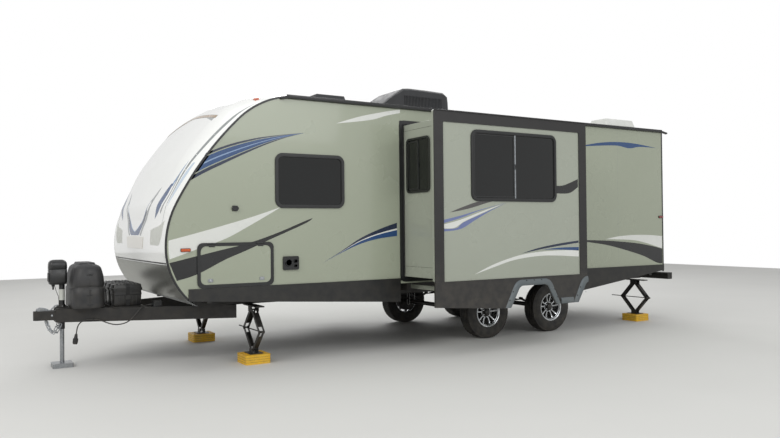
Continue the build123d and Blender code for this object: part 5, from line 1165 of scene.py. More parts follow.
def makeWindow(name, place, opening, corner, body, kind):
    sizes = dict(lap=0.020, seal=0.008, sealProud=0.003, bar=0.018, barProud=0.007, sash=0.014, sashProud=0.005,
                 slot=(0.030, 0.006), slotPitch=0.25, keeper=(0.016, 0.060))
    u0, u1, v0, v1 = opening
    lap = sizes["lap"] - 0.0004

    def outline(grow):
        return roundedOutline(u0 - grow, u1 + grow, v0 - grow, v1 + grow, max(corner + grow, 0.01), 8)

    solid(name + "Seal", "rubberSeal", "black_frame", (ring, outline(-lap), outline(-lap - sizes["seal"]), place,
            -0.0002, sizes["sealProud"]), body=body, bevel=0.001)
    # Raised lip round the frame's face
    solid(name + "Lip", "trimBlack", "black_frame", (ring, outline(0.011), outline(-0.013), place, 0.0118, 0.0148),
            body=body, bevel=0.0014)
    middle = (u0 + u1) / 2
    if kind in ("slider", "casement"):
        solid(name + "Bar", "zincSteel" if kind == "slider" else "trimBlack", "black_frame",
                (slab, [(middle - sizes["bar"] / 2, v0 + 0.020), (middle + sizes["bar"] / 2, v0 + 0.020),
                (middle + sizes["bar"] / 2, v1 - 0.020), (middle - sizes["bar"] / 2, v1 - 0.020)], place, -0.0002,
                sizes["barProud"]), body=body, bevel=0.0015)
        inner = sizes["lap"] + sizes["seal"]
        solid(name + "Sash", "trimBlack", "black_frame", (ring, roundedOutline(u0 + inner, middle - 0.013,
                v0 + inner, v1 - inner, 0.02, 6), roundedOutline(u0 + inner + sizes["sash"],
                middle - 0.013 - sizes["sash"], v0 + inner + sizes["sash"], v1 - inner - sizes["sash"], 0.012, 6),
                place, -0.0002, sizes["sashProud"]), body=body, bevel=0.001)
        shape = bmesh.new()
        wide, tall = sizes["keeper"]
        slab(shape, around(middle, (v0 + v1) / 2, wide / 2, tall / 2, 0.005, 4),
             place, sizes["barProud"] - 0.0005, sizes["barProud"] + 0.006)
        makePiece(name + "Keeper", shape, "mouldedBlack", body, "black_plastic", bevel=0.0012)
    # Weep covers along the bottom
    long, tall = sizes["slot"]
    count = max(2, round((u1 - u0) / sizes["slotPitch"]))
    spots = [u0 + (u1 - u0) * (index + 0.5) / count for index in range(count)]
    shape = bmesh.new()
    for spot in spots:
        slab(shape, around(spot, v0 - 0.0065, long / 2, tall / 2, 0.0028, 3), place, 0.0145, 0.0172)
    makePiece(name + "Weeps", shape, "mouldedBlack", body, "black_plastic", smooth=30)


def endWallPlace(u, v, w):
    return Vector((rearWall + w, u, v))


def slideSidePlace(u, v, w):
    return Vector((3.540 - w, -u, v))


def makeWindows():
    makeWindow("frontWindow", wallPlace, (1.934, 2.728, 1.673, 2.227), 0.070, "trailer", "fixed")
    makeWindow("farFrontWindow", doorWallPlace, (1.934, 2.728, 1.673, 2.227), 0.070, "trailer", "fixed")
    makeWindow("dinetteWindow", doorWallPlace, (4.560, 5.700, 1.650, 2.350), 0.070, "trailer", "slider")
    makeWindow("farRearWindow", doorWallPlace, (6.600, 7.250, 1.750, 2.270), 0.070, "trailer", "slider")
    makeWindow("rearWindow", endWallPlace, (-0.420, 0.420, 1.750, 2.250), 0.070, "trailer", "fixed")
    makeWindow("roomWindow", slidePlace, (4.017, 5.297, 1.745, 2.526), 0.070, "slide_room", "slider")
    makeWindow("roomSideWindow", slideSidePlace, (1.300, 1.760, 1.842, 2.453), 0.050, "slide_room", "casement")


hingeOut, hingeStand = 1.2315, 0.0042
hatchHinges, entryHinges = (-0.26, 0.26), (-0.7, 0, 0.7)


def makeKnuckleCovers(name, body, places, axis, side, leaf):
    # Dark sleeve round each hinge knuckle and a cap over its strap; leaf points from the axis to the door
    sizes = dict(radius=0.007, wall=0.0010, half=0.030, strap=0.034, thick=0.0042)
    outward = Vector((0, side, 0))
    shape = bmesh.new()
    for place in places:
        centre = Vector(place)
        rings = []
        for step in range(20):
            angle = 2 * math.pi * step / 20
            spoke = leaf * math.cos(angle) + outward * math.sin(angle)
            rings.append([centre + axis * along + spoke * out for along, out in ((-sizes["half"],
                    sizes["radius"] + 0.0001), (-sizes["half"], sizes["radius"] + sizes["wall"]),
                    (sizes["half"], sizes["radius"] + sizes["wall"]), (sizes["half"], sizes["radius"] + 0.0001))])
        skin(shape, rings, loop=True)
        low, high = -hingeStand + sizes["thick"], -hingeStand + sizes["thick"] + sizes["wall"]
        corners = [(sizes["radius"] + 0.0005, low), (sizes["strap"], low), (sizes["strap"], high),
                (sizes["radius"] + 0.0005, high)]
        skin(shape, [[centre + axis * along + leaf * reach + outward * out for reach, out in corners]
                for along in (-sizes["half"], sizes["half"])])
    makePiece(name + "Knuckles", shape, "trimBlack", body, "black_frame", smooth=30)


def makeStorageDoor(name, side, body):
    hole = dict(u0=1.094, u1=1.881, v0=0.860, v1=1.288)
    sizes = dict(ring=0.034, proud=0.004, latch=(0.052, 0.034), latchInset=0.12, keyRadius=0.007)

    def place(u, v, w):
        return Vector((u, side * (bodyHalf + doorFace + w), v))

    def outline(grow):
        return roundedOutline(hole["u0"] - grow, hole["u1"] + grow, hole["v0"] - grow, hole["v1"] + grow, 0.055, 8)

    solid("hatchRim" + name, "trimBlack", "black_frame", (ring, outline(0.013), outline(0.013 - sizes["ring"]),
            place, -0.0004, sizes["proud"]), body=body, bevel=0.0012)
    makeKnuckleCovers("hatch" + name, body, [((hole["u0"] + hole["u1"]) / 2 + step, side * hingeOut,
            hole["v1"] + hingeStand) for step in hatchHinges], Vector((1, 0, 0)), side, Vector((0, 0, -1)))
    shape = bmesh.new()
    wide, tall = sizes["latch"]
    height = hole["v0"] + 0.062
    spots = (hole["u0"] + sizes["latchInset"], hole["u1"] - sizes["latchInset"])
    for spot in spots:
        slab(shape, around(spot, height, wide / 2, tall / 2, 0.008, 5), place, -0.0004, 0.006)
    makePiece("hatchLatches" + name, shape, "zincSteel", body, "zinc_steel", bevel=0.0016)
    shape = bmesh.new()
    for spot in spots:
        turned(shape, [(0.0055, sizes["keyRadius"] + 0.002), (0.0085, sizes["keyRadius"] + 0.002),
                (0.0098, sizes["keyRadius"])], place(spot, height, 0), (0, side, 0), 20)
        low, high = sorted(side * (bodyHalf + doorFace + out) for out in (0.009, 0.0104))
        block(shape, (spot - 0.001, low, height - 0.0045), (spot + 0.001, high, height + 0.0045))
    makePiece("hatchLocks" + name, shape, "chrome", body, "zinc_steel", smooth=30)


def makeEntryDoor():
    hole = dict(u0=3.560, u1=4.240, v0=0.865, v1=2.600)
    body = "entry_door"
    sizes = dict(rim=0.024, window=(3.68, 4.12, 1.78, 2.34), handle=(0.085, 0.135), grabRadius=0.0125)

    def place(u, v, w):
        return Vector((u, bodyHalf + doorFace + w, v))

    def outline(grow, radius=0.055):
        return roundedOutline(hole["u0"] - grow, hole["u1"] + grow, hole["v0"] - grow, hole["v1"] + grow, radius, 8)

    solid("entryRim", "trimBlack", "black_frame", (ring, outline(0.012), outline(0.012 - sizes["rim"]), place,
            -0.0004, 0.0045), body=body, bevel=0.0012)
    makeKnuckleCovers("entry", body, [(hole["u0"] - hingeStand, hingeOut, (hole["v0"] + hole["v1"]) / 2 + step)
            for step in entryHinges], Vector((0, 0, 1)), 1, Vector((1, 0, 0)))
    u0, u1, v0, v1 = sizes["window"]
    solid("entryWindowFrame", "trimBlack", "black_frame", (ring, roundedOutline(u0 - 0.022, u1 + 0.022, v0 - 0.022,
            v1 + 0.022, 0.06, 8), roundedOutline(u0, u1, v0, v1, 0.04, 8), place, -0.0004, 0.010), body=body,
            bevel=0.0018)
    solid("entryWindowGlass", "tintedGlass", "tinted_glass", (slab, roundedOutline(u0 + 0.0004, u1 - 0.0004,
            v0 + 0.0004, v1 - 0.0004, 0.039, 8), place, 0.0003, 0.004), body=body)
    # Paddle handle with its two locks
    latchU, latchV = hole["u1"] - 0.085, 1.62
    wide, tall = sizes["handle"]
    solid("entryLatch", "mouldedBlack", "black_plastic", (slab, around(latchU, latchV, wide / 2, tall / 2, 0.012,
            5), place, -0.0004, 0.009), body=body, bevel=0.002)
    solid("entryPaddle", "trimBlack", "black_frame", (slab, roundedOutline(latchU - 0.030, latchU + 0.026,
            latchV - 0.006, latchV + 0.048, 0.008, 5), place, 0.0085, 0.026), body=body, bevel=0.003)
    shape = bmesh.new()
    for height in (latchV - 0.038, latchV + 0.094):
        turned(shape, [(-0.0004, 0.0135), (0.0105, 0.0135), (0.0125, 0.011)], place(latchU, height, 0), (0, 1, 0), 24)
    makePiece("entryLocks", shape, "chrome", body, "zinc_steel", smooth=30)
    # Long grab handle on the wall behind the door
    grabU, low, high = 4.335, 1.20, 1.82
    solid("grabBar", "rubberSeal", "black_plastic", (tube, [(grabU, bodyHalf + 0.058, low + 0.005),
            (grabU, bodyHalf + 0.058, (low + high) / 2), (grabU, bodyHalf + 0.058, high - 0.005)],
            sizes["grabRadius"], 16), smooth=50)
    shape = bmesh.new()
    for height in (low, high):
        slab(shape, around(grabU, height, 0.026, 0.045, 0.012, 5), doorWallPlace, -0.0003, 0.008)
        slab(shape, around(grabU, height, 0.017, 0.018, 0.010, 5), doorWallPlace, 0.0075, 0.074)
    makePiece("grabFeet", shape, "mouldedBlack", "trailer", "black_plastic", bevel=0.002)
    # Porch lamp by the door
    solid("porchLampBase", "mouldedBlack", "black_plastic", (slab, roundedOutline(4.32, 4.44, 2.19, 2.27, 0.02, 6),
            doorWallPlace, -0.0003, 0.016), bevel=0.002)
    solid("porchLampLens", "lensClear", "vent_white", (slab, roundedOutline(4.328, 4.432, 2.198, 2.262, 0.016, 6),
            doorWallPlace, 0.0155, 0.034), bevel=0.005)


makeWindows()
makeStorageDoor("Street", street, "storage_door_street")
makeStorageDoor("Far", doorSide, "storage_door_far")
makeEntryDoor()
print("openings done")


def makeRoomDetails():
    # Slide-out room: joints of its side panels, screws of the corner trims, flange and wiper seal at the wall
    body = "slide_room"
    sizes = dict(joint=0.003, low=0.985, high=2.560, screwPitch=0.148, clear=0.880, hole=(3.532, 5.784, 0.857, 2.640))
    for name, x, sign in (("Front", 3.540, -1), ("Rear", 5.776, 1)):
        for height in (sizes["low"], sizes["high"]):
            solid("roomJoint%s_%d" % (name, round(height * 100)), "rubberSeal", "dark_skirt",
                    (block, (min(x, x + sign * 0.0004) - 0.0002, -1.862, height),
                    (max(x, x + sign * 0.0004) + 0.0002, -1.226, height + sizes["joint"])), body=body)
    face = -(slideFace + 0.0102)
    for index, x in enumerate((3.522, 3.583, 5.733, 5.794)):
        makeRow("roomScrews_%d" % index, screwShape(street), "cornerCharcoal", body, "dark_skirt", 15,
                (x, face, 0.61), (0, 0, sizes["screwPitch"]))
    makeRow("roomTopScrews", screwShape(street), "cornerCharcoal", body, "dark_skirt", 14, (3.70, face, 2.705),
            (0.150, 0, 0))
    # Flange that frames the hole in the trailer's wall, with its wiper lip
    x0, x1, z0, z1 = sizes["hole"]
    solid("roomFlange", "trimBlack", "dark_skirt", (ring, roundedOutline(x0 - 0.052, x1 + 0.052, z0 - 0.040,
            z1 + 0.052, 0.012, 3), roundedOutline(x0 - 0.004, x1 + 0.004, z0 - 0.004, z1 + 0.004, 0.006, 3),
            wallPlace, -0.0003, 0.0045), bevel=0.0012)
    wiper = solid("roomWiper", "rubberSeal", "dark_skirt", (ring, roundedOutline(x0 - 0.014, x1 + 0.014, z0 - 0.006,
            z1 + 0.014, 0.010, 3), roundedOutline(x0 - 0.001, x1 + 0.001, z0 - 0.001, z1 + 0.001, 0.004, 3),
            wallPlace, 0.004, 0.020), bevel=0.003)
    keepInside(wiper, (3, -2, sizes["clear"]), (7, 2, 3))
    # Roof edge of the room: a drip rail on top of the fascia
    shape = bmesh.new()
    section = [(-0.001, 2.7262), (0.016, 2.7262), (0.016, 2.7200), (0.020, 2.7200), (0.020, 2.7300), (-0.001, 2.7300)]
    skin(shape, [[Vector((x, -(slideFace + out), z)) for out, z in section] for x in (3.492, 5.824)])
    makePiece("roomDrip", shape, "cornerCharcoal", body, "dark_skirt", bevel=0.0006)


def makeInlet():
    # Power inlet: box, round lids in raised collars, and an oval vent higher on the wall
    sizes = dict(x=2.090, z=1.070)

    def place(u, v, w):
        return Vector((u, -(bodyHalf + 0.0163 + w), v))

    solid("inletRim", "mouldedBlack", "black_plastic", (ring, around(sizes["x"], sizes["z"], 0.090, 0.0725, 0.015,
            5), around(sizes["x"], sizes["z"], 0.081, 0.0635, 0.008, 5), place, -0.0006, 0.004), bevel=0.0012)
    for index, (dx, dz, radius) in enumerate(((-0.030, 0.006, 0.040), (0.052, 0.020, 0.021), (0.052, -0.030, 0.017))):
        where = place(sizes["x"] + dx, sizes["z"] + dz, 0)
        solid("inletCover_%d" % index, "mouldedBlack", "black_plastic",
                (turned, [(-0.0006, radius), (0.009, radius), (0.012, radius * 0.93), (0.012, radius * 0.80),
                (0.0095, radius * 0.76), (0.0105, 0.004)], where, (0, -1, 0), 36), smooth=30)
        solid("inletRing_%d" % index, "pocketPaint", "black_plastic", (turned,
                [(0.0112, radius * 0.93), (0.0135, radius * 0.90), (0.0135, radius * 0.84),
                (0.0112, radius * 0.80)], where, (0, -1, 0), 36), smooth=30)
    shape = bmesh.new()
    turned(shape, [(-0.0004, 0.0375), (0.004, 0.0375), (0.0052, 0.035), (0.0052, 0.026), (0.003, 0.024),
            (0.003, 0.003)], Vector((1.475, -(bodyHalf + 0.0163), 1.650)), (0, -1, 0), 40)
    for vert in shape.verts:
        vert.co.z = 1.650 + (vert.co.z - 1.650) * 0.62
    makePiece("ovalVent", shape, "mouldedBlack", "trailer", "black_plastic", smooth=30)


def archOutline(centre, grow, steps=8):
    # Wheel arch as (along, up) from one foot over the top to the other, with rounded shoulders
    sizes = dict(low=0.400, high=0.215, foot=0.430, top=0.739, fillet=0.080)
    reach, top = sizes["high"] + grow * 0.8, sizes["top"] + grow
    foot = (sizes["low"] + grow, sizes["foot"])
    lean = math.atan2(top - foot[1], foot[0] - reach)
    radius = sizes["fillet"] + grow
    back = radius / math.tan((math.pi - lean) / 2)
    right = [foot]
    for step in range(steps + 1):
        turn = (math.pi / 2 - lean) + lean * step / steps
        right.append((reach - back + radius * math.cos(turn), top - radius + radius * math.sin(turn)))
    return [(centre - u, v) for u, v in right] + [(centre + u, v) for u, v in reversed(right)]


def makeFlares():
    # Wheel arch flares: a rounded band, proud in the middle, with dark bolt heads near its outer edge
    sizes = dict(bolt=0.0075, pitch=0.11)
    section = [(0.0, 0.0), (0.0, 0.013), (0.006, 0.0165), (0.022, 0.0178), (0.040, 0.0165), (0.056, 0.0115),
            (0.066, 0.006), (0.070, 0.0)]
    wallY, roomY = bodyHalf + 0.012 + 0.0006, slideFace + 0.010 + 0.0003
    for name, side, base, body, node, centres, limits in (
            ("Street", -1, wallY, "trailer", "body_flares", (rearAxle,), (5.850, 0.5855)),
            ("Door", 1, wallY, "trailer", "body_flares", (frontAxle, rearAxle), (0, 0.5855)),
            ("Room", -1, roomY, "slide_room", "slide_flare", (frontAxle, rearAxle), (5.826, 0.4905))):
        for index, centre in enumerate(centres):
            shape = bmesh.new()
            outlines = [(archOutline(centre, grow), out) for grow, out in section]
            skin(shape, [[Vector((line[spot][0], side * (base + out), line[spot][1])) for line, out in outlines]
                    for spot in range(len(outlines[0][0]))])
            piece = makePiece("flare%s_%d" % (name, index), shape, "flareAbs", body, "flare_grey", [node], smooth=50)
            low = limits[0] if name == "Street" else 0
            high = limits[0] if name == "Room" else 9
            keepInside(piece, (low, -3, limits[1]), (high, 3, 2))
            spots = []
            line = archOutline(centre, 0.059)
            for start, end in zip(line, line[1:]):
                stretch = math.dist(start, end)
                count = round(stretch / sizes["pitch"])
                spots += [(start[0] + (end[0] - start[0]) * (step + 0.5) / count,
                        start[1] + (end[1] - start[1]) * (step + 0.5) / count) for step in range(count)]
            spots = [(x, side * (base + 0.0095), z)
                    for x, z in spots if z > limits[1] + 0.02 and low + 0.02 < x < high - 0.02]
            if name == "Room" and index == 0:
                # Low strip that joins the two arches
                strip = bmesh.new()
                edge = [(0.4905, 0.0), (0.4905, 0.013), (0.497, 0.0165), (0.512, 0.0176), (0.530, 0.0163),
                        (0.546, 0.0113), (0.556, 0.006), (0.560, 0.0)]
                skin(strip, [[Vector((x, -(roomY + out), z)) for z, out in edge] for x in (5.365, 5.574)])
                makePiece("flareRoomStrip", strip, "flareAbs", body, "flare_grey", [node], smooth=50)
            makeCopies("flareBolts%s_%d" % (name, index), shaped((turned,
                    [(-0.003, sizes["bolt"]), (0.004, sizes["bolt"]), (0.006, sizes["bolt"] * 0.66)], (0, 0, 0),
                    (0, side, 0), 12)), "mouldedBlack", body, "black_plastic", spots)


def makeLamps():
    replaced = ["lamps"]
    sizes = dict(tail=dict(y=1.080, z=1.100), marker=(0.100, 0.036), top=(0.100, 0.032))

    def lamp(name, place, u, v, wide, tall, deep, lens, corner, first=()):
        solid(name + "Base", "mouldedBlack", "black_plastic", (slab, around(u, v, wide / 2, tall / 2, corner, 5),
                place, 0.0003, deep * 0.45), replaced=first, bevel=0.0012)
        inset = min(wide, tall) * 0.10
        solid(name + "Lens", lens, "lamp_red", (slab, roundedOutline(u - wide / 2 + inset, u + wide / 2 - inset,
                v - tall / 2 + inset, v + tall / 2 - inset, corner, 5), place, deep * 0.40, deep),
                bevel=min(0.005, deep * 0.25))

    for side, tag, place in ((street, "Street", wallPlace), (doorSide, "Door", doorWallPlace)):
        lamp("frontMarker" + tag, place, 0.967, 1.234, *sizes["marker"], 0.018, "lensAmber", 0.008, replaced)
        lamp("rearMarker" + tag, place, 8.127, 1.560, *sizes["marker"], 0.018, "lensRed", 0.008, replaced)
    for index, y in enumerate((-0.18, 0, 0.18)):
        lamp("topLamp_%d" % index, endWallPlace, y, 2.760, *sizes["top"], 0.018, "lensRed", 0.008, replaced)
    tail = sizes["tail"]
    for side, tag in ((street, "Street"), (doorSide, "Door")):
        y = side * tail["y"]
        solid("tailBase" + tag, "mouldedBlack", "black_plastic", (slab,
                around(y, tail["z"], 0.070, 0.165, 0.020, 6), endWallPlace, 0.0003, 0.012), replaced=replaced,
                bevel=0.002)
        for name, low, high, lens in (("Stop", 0.020, 0.155, "lensRed"), ("Turn", -0.075, 0.012, "lensRed"),
                ("Reverse", -0.155, -0.083, "lensClear")):
            solid("tail" + name + tag, lens, "lamp_red", (slab, roundedOutline(y - 0.060, y + 0.060,
                    tail["z"] + low, tail["z"] + high, 0.012, 6), endWallPlace, 0.011, 0.0248), bevel=0.005)
            rib = bmesh.new()
            block(rib, (0.0235, -0.054, -0.0009), (0.0262, 0.054, 0.0009))
            count = int((high - low) / 0.012) - 1
            makeRow("tailRibs" + name + tag, rib, lens, "trailer", "lamp_red", count,
                    (rearWall, y, tail["z"] + low + 0.012), (0, 0, 0.012), bevel=0.0006)
    # Bare number-plate holder with its lamp
    solid("plateHolder", "mouldedBlack", "black_plastic", (slab, roundedOutline(-0.86, -0.56, 0.985, 1.145, 0.010,
            4), endWallPlace, -0.0003, 0.004), bevel=0.001)
    solid("plateLamp", "mouldedBlack", "black_plastic", (slab, roundedOutline(-0.75, -0.67, 1.150, 1.176, 0.008, 4),
            endWallPlace, -0.0003, 0.030), bevel=0.004)


def makeAwning():
    replaced = ["rolled_awning"]
    sizes = dict(low=2.900, high=7.700, y=1.294, z=2.700, roll=0.044, tubeRadius=0.036, arm=(0.045, 0.030),
            foot=1.100)
    y, z = sizes["y"], sizes["z"]
    # Rolled cloth: a spiral wound round the tube
    cloth = bmesh.new()
    turns, steps = 2.6, 120
    spiral = []
    for index in range(steps + 1):
        angle = 2 * math.pi * turns * index / steps
        radius = sizes["tubeRadius"] + 0.0005 + (sizes["roll"] - sizes["tubeRadius"]) * index / steps
        spiral.append((radius * math.cos(angle), radius * math.sin(angle)))
    thickness = 0.0011
    inner = [(u * (1 - thickness / math.hypot(u, v)), v * (1 - thickness / math.hypot(u, v))) for u, v in spiral]
    outline = spiral + inner[::-1]
    skin(cloth, [[Vector((x, y + u, z + v)) for u, v in outline] for x in (sizes["low"] + 0.06,
            sizes["high"] - 0.06)])
    makePiece("awningCloth", cloth, "awningVinyl", "trailer", "awning_white", replaced, smooth=30)
    solid("awningTube", "whitePowder", "awning_white", (turned, [(0, sizes["tubeRadius"]),
            (sizes["high"] - sizes["low"] - 0.02, sizes["tubeRadius"])], (sizes["low"] + 0.01, y, z), (1, 0, 0),
            48), replaced=replaced)
    for name, x, sign in (("Front", sizes["low"] + 0.002, 1), ("Rear", sizes["high"] - 0.002, -1)):
        solid("awningCap" + name, "whitePowder", "awning_white", (turned,
                [(0, 0.030), (0.002, 0.047), (0.006, 0.052), (0.040, 0.052), (0.052, 0.048), (0.052, 0.037)],
                (x, y, z), (sign, 0, 0), 48), replaced=replaced, smooth=30)
    # Rail on the wall that holds the cloth, and its wrapper lip
    shape = bmesh.new()
    section = [(0.0003, 2.742), (0.010, 2.744), (0.018, 2.752), (0.018, 2.757), (0.004, 2.757), (0.0003, 2.764)]
    skin(shape, [[Vector((x, bodyHalf + out, height)) for out, height in section]
            for x in (sizes["low"] + 0.05, sizes["high"] - 0.05)])
    makePiece("awningRail", shape, "whitePowder", "trailer", "awning_white", replaced, bevel=0.0008)
    for name, x in (("Front", 2.9225), ("Rear", 7.6775)):
        wide, deep = sizes["arm"]
        shape = bmesh.new()
        inner = (wide / 2 - 0.004)
        block(shape, (x - wide / 2, bodyHalf + 0.0003, sizes["foot"]), (x + wide / 2, bodyHalf + 0.006, z - 0.060))
        for sign in (-1, 1):
            a, b = sorted((x + sign * wide / 2, x + sign * inner))
            block(shape, (a, bodyHalf + 0.004, sizes["foot"]), (b, bodyHalf + deep, z - 0.060))
        makePiece("awningArm" + name, shape, "whitePowder", "trailer", "awning_white", replaced, bevel=0.0015)
        solid("awningStrut" + name, "whitePowder", "awning_white", (block,
                (x - 0.014, bodyHalf + 0.008, sizes["foot"] + 0.05), (x + 0.014, bodyHalf + 0.026, z - 0.20)),
                replaced=replaced, bevel=0.002)
        solid("awningJoint" + name, "mouldedBlack", "black_plastic", (block,
                (x - 0.020, bodyHalf + 0.0006, sizes["foot"]), (x + 0.020, bodyHalf + 0.030,
                sizes["foot"] + 0.045)), (block, (x - 0.020, bodyHalf + 0.0006, z - 0.085),
                (x + 0.020, bodyHalf + 0.046, z - 0.036)), replaced=replaced, bevel=0.003)
        shape = bmesh.new()
        for height in (1.135, 1.62, 2.10):
            turned(shape, [(0.0255, 0.006), (0.029, 0.006), (0.030, 0.004)], (x, bodyHalf, height), (0, 1, 0), 14)
        makePiece("awningRivets" + name, shape, "zincSteel", "trailer", "zinc_steel", replaced, smooth=30)


def makeAirConditioner():
    replaced = ["air_conditioner"]
    x0, x1, top = 3.790, 4.830, 3.290
    sizes = dict(half=0.355, louvre=0.0035, count=26)

    def roofAt(y):
        return roofEdge + 0.092 * (1 - (y / bodyHalf) ** 2)

    profile = [(x0 + 0.012, 3.050), (x0 + 0.020, 3.058), (x0 + 0.100, 3.126), (x0 + 0.330, top - 0.012),
            (x0 + 0.420, top - 0.002), (x0 + 0.700, top - 0.004), (x1 - 0.060, top - 0.013),
            (x1 - 0.012, top - 0.052), (x1 - 0.004, 3.150), (x1 - 0.002, 3.000)]
    steps = 20
    shape = bmesh.new()
    rings = []
    for x, height in profile:
        across = []
        for index in range(steps + 1):
            share = -1 + 2 * index / steps
            y = sizes["half"] * math.copysign(min(1, abs(share) * 1.12), share)
            edge = max(0.0, abs(share) - 0.82) / 0.18
            level = height - edge ** 1.6 * (height - 3.010) * 0.35
            across.append(Vector((x, y * (1 - 0.03 * (height - 3.0) / 0.29), level)))
        base = roofAt(sizes["half"]) + 0.004
        rings.append([Vector((x, -sizes["half"] + 0.002, max(base, 2.968)))] + across + [Vector((x,
                sizes["half"] - 0.002, max(base, 2.968)))])
    skin(shape, rings)
    makePiece("acShroud", shape, "acShroud", "trailer", "black_plastic", replaced, smooth=40)
    # Condenser louvres on both flanks: upright fins
    for sign, tag in ((-1, "Street"), (1, "Door")):
        makeRow("acFins" + tag, shaped((block, (-sizes["louvre"] / 2, -0.010, 0),
                (sizes["louvre"] / 2, 0.010, 0.140))), "mouldedBlack", "trailer", "black_plastic", sizes["count"],
                (x0 + 0.34, sign * (sizes["half"] - 0.011), 3.045), (0.0235, 0, 0), bevel=0.0008)
    makeRow("acRearFins", shaped((block, (-0.010, -sizes["louvre"] / 2, 0), (0.008, sizes["louvre"] / 2, 0.150))),
            "mouldedBlack", "trailer", "black_plastic", 25, (x1 - 0.010, -0.288, 3.040), (0, 0.024, 0), bevel=0.0008)


makeRoomDetails()
makeInlet()
makeFlares()
makeLamps()
makeAwning()
makeAirConditioner()
print("fittings done")


def makeCable():
    # Tow cable with the same route points as the solid: out of the junction box, under the rail, down to its plug
    route = [(0.820, -0.440, 0.642), (0.765, -0.440, 0.642), (0.708, -0.456, 0.615), (0.652, -0.462, 0.548),
            (0.592, -0.440, 0.480), (0.530, -0.405, 0.452), (0.470, -0.372, 0.446), (0.410, -0.338, 0.460),
            (0.350, -0.296, 0.488), (0.290, -0.264, 0.505), (0.230, -0.236, 0.507), (0.175, -0.210, 0.494),
            (0.136, -0.193, 0.460), (0.119, -0.185, 0.410), (0.113, -0.182, 0.356)]
    sizes = dict(radius=0.006, length=0.948, collarEnd=0.0193, collarLong=0.045, body=0.025, bodyLong=0.060)
    curve = bpy.data.curves.new("towCable", "CURVE")
    curve.dimensions = "3D"
    spline = curve.splines.new("NURBS")
    spline.points.add(len(route) - 1)
    for point, place in zip(spline.points, route):
        point.co = (*place, 1)
    spline.order_u = 3
    spline.use_endpoint_u = True
    spline.resolution_u = 12
    curve.bevel_depth, curve.bevel_resolution, curve.use_fill_caps = sizes["radius"], 6, True
    curve.materials.append(materials["cableJacket"])
    cable = bpy.data.objects.new("towCableCord", curve)
    scene.collection.objects.link(cable)
    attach(cable, "trailer")
    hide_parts("tow_cable")

    end, before = Vector(route[-1]), Vector(route[-2])
    along = (end - before).normalized()
    first = sizes["collarLong"]
    last = first + sizes["bodyLong"]
    body = solid("towPlug", "mouldedBlack", "black_plastic", (turned, [(-0.004, 0.0075), (0.0, 0.0125),
            (0.006, 0.0135), (first, sizes["collarEnd"]), (first + 0.001, sizes["body"] - 0.002),
            (first + 0.003, sizes["body"]), (last - 0.012, sizes["body"]), (last - 0.010, sizes["body"] - 0.002),
            (last - 0.002, sizes["body"] - 0.002), (last, sizes["body"] - 0.004), (last, 0.017),
            (last - 0.014, 0.016), (last - 0.014, 0.006), (last - 0.002, 0.006), (last - 0.001, 0.004)], end, along,
            40), replaced=["tow_plug"], smooth=35)
    ribs = bmesh.new()
    sideways = along.cross(Vector((0, 1, 0))).normalized()
    across = along.cross(sideways).normalized()
    for index in range(16):
        angle = 2 * math.pi * index / 16
        out = sideways * math.cos(angle) + across * math.sin(angle)
        wide = out.cross(along)
        corners = [(0.0245, -0.0022), (0.0262, -0.0014), (0.0262, 0.0014), (0.0245, 0.0022)]
        skin(ribs, [[end + along * step + out * r + wide * t for r, t in corners]
                for step in (first + 0.005, last - 0.014)])
    grip = makePiece("towPlugGrip", ribs, "mouldedBlack", "trailer", "black_plastic", ["tow_plug"], smooth=30)
    blades = bmesh.new()
    for index in range(6):
        angle = 2 * math.pi * index / 6
        out = sideways * math.cos(angle) + across * math.sin(angle)
        wide = out.cross(along)
        corners = [(0.0095, -0.0030), (0.0107, -0.0030), (0.0107, 0.0030), (0.0095, 0.0030)]
        skin(blades, [[end + along * step + out * r + wide * t for r, t in corners]
                for step in (last - 0.0145, last - 0.003)])
    pins = makePiece("towPlugBlades", blades, "brassPins", "trailer", "zinc_steel", ["tow_plug"])
    # Tapered strain relief where the cable leaves the gland, in rings
    solid("cableRelief", "mouldedBlack", "black_plastic", (turned, [(-0.0024, 0.0068), (-0.0024, 0.0108),
            (0.004, 0.0108), (0.0048, 0.0094), (0.0072, 0.0094), (0.0080, 0.0104), (0.0104, 0.0102),
            (0.0112, 0.0090), (0.0136, 0.0090), (0.0144, 0.0098), (0.0168, 0.0096), (0.0176, 0.0084),
            (0.0200, 0.0084), (0.0208, 0.0090), (0.0232, 0.0086), (0.0300, 0.0070), (0.0300, 0.0062)],
            Vector(route[0]), (-1, 0, 0), 32), smooth=35)


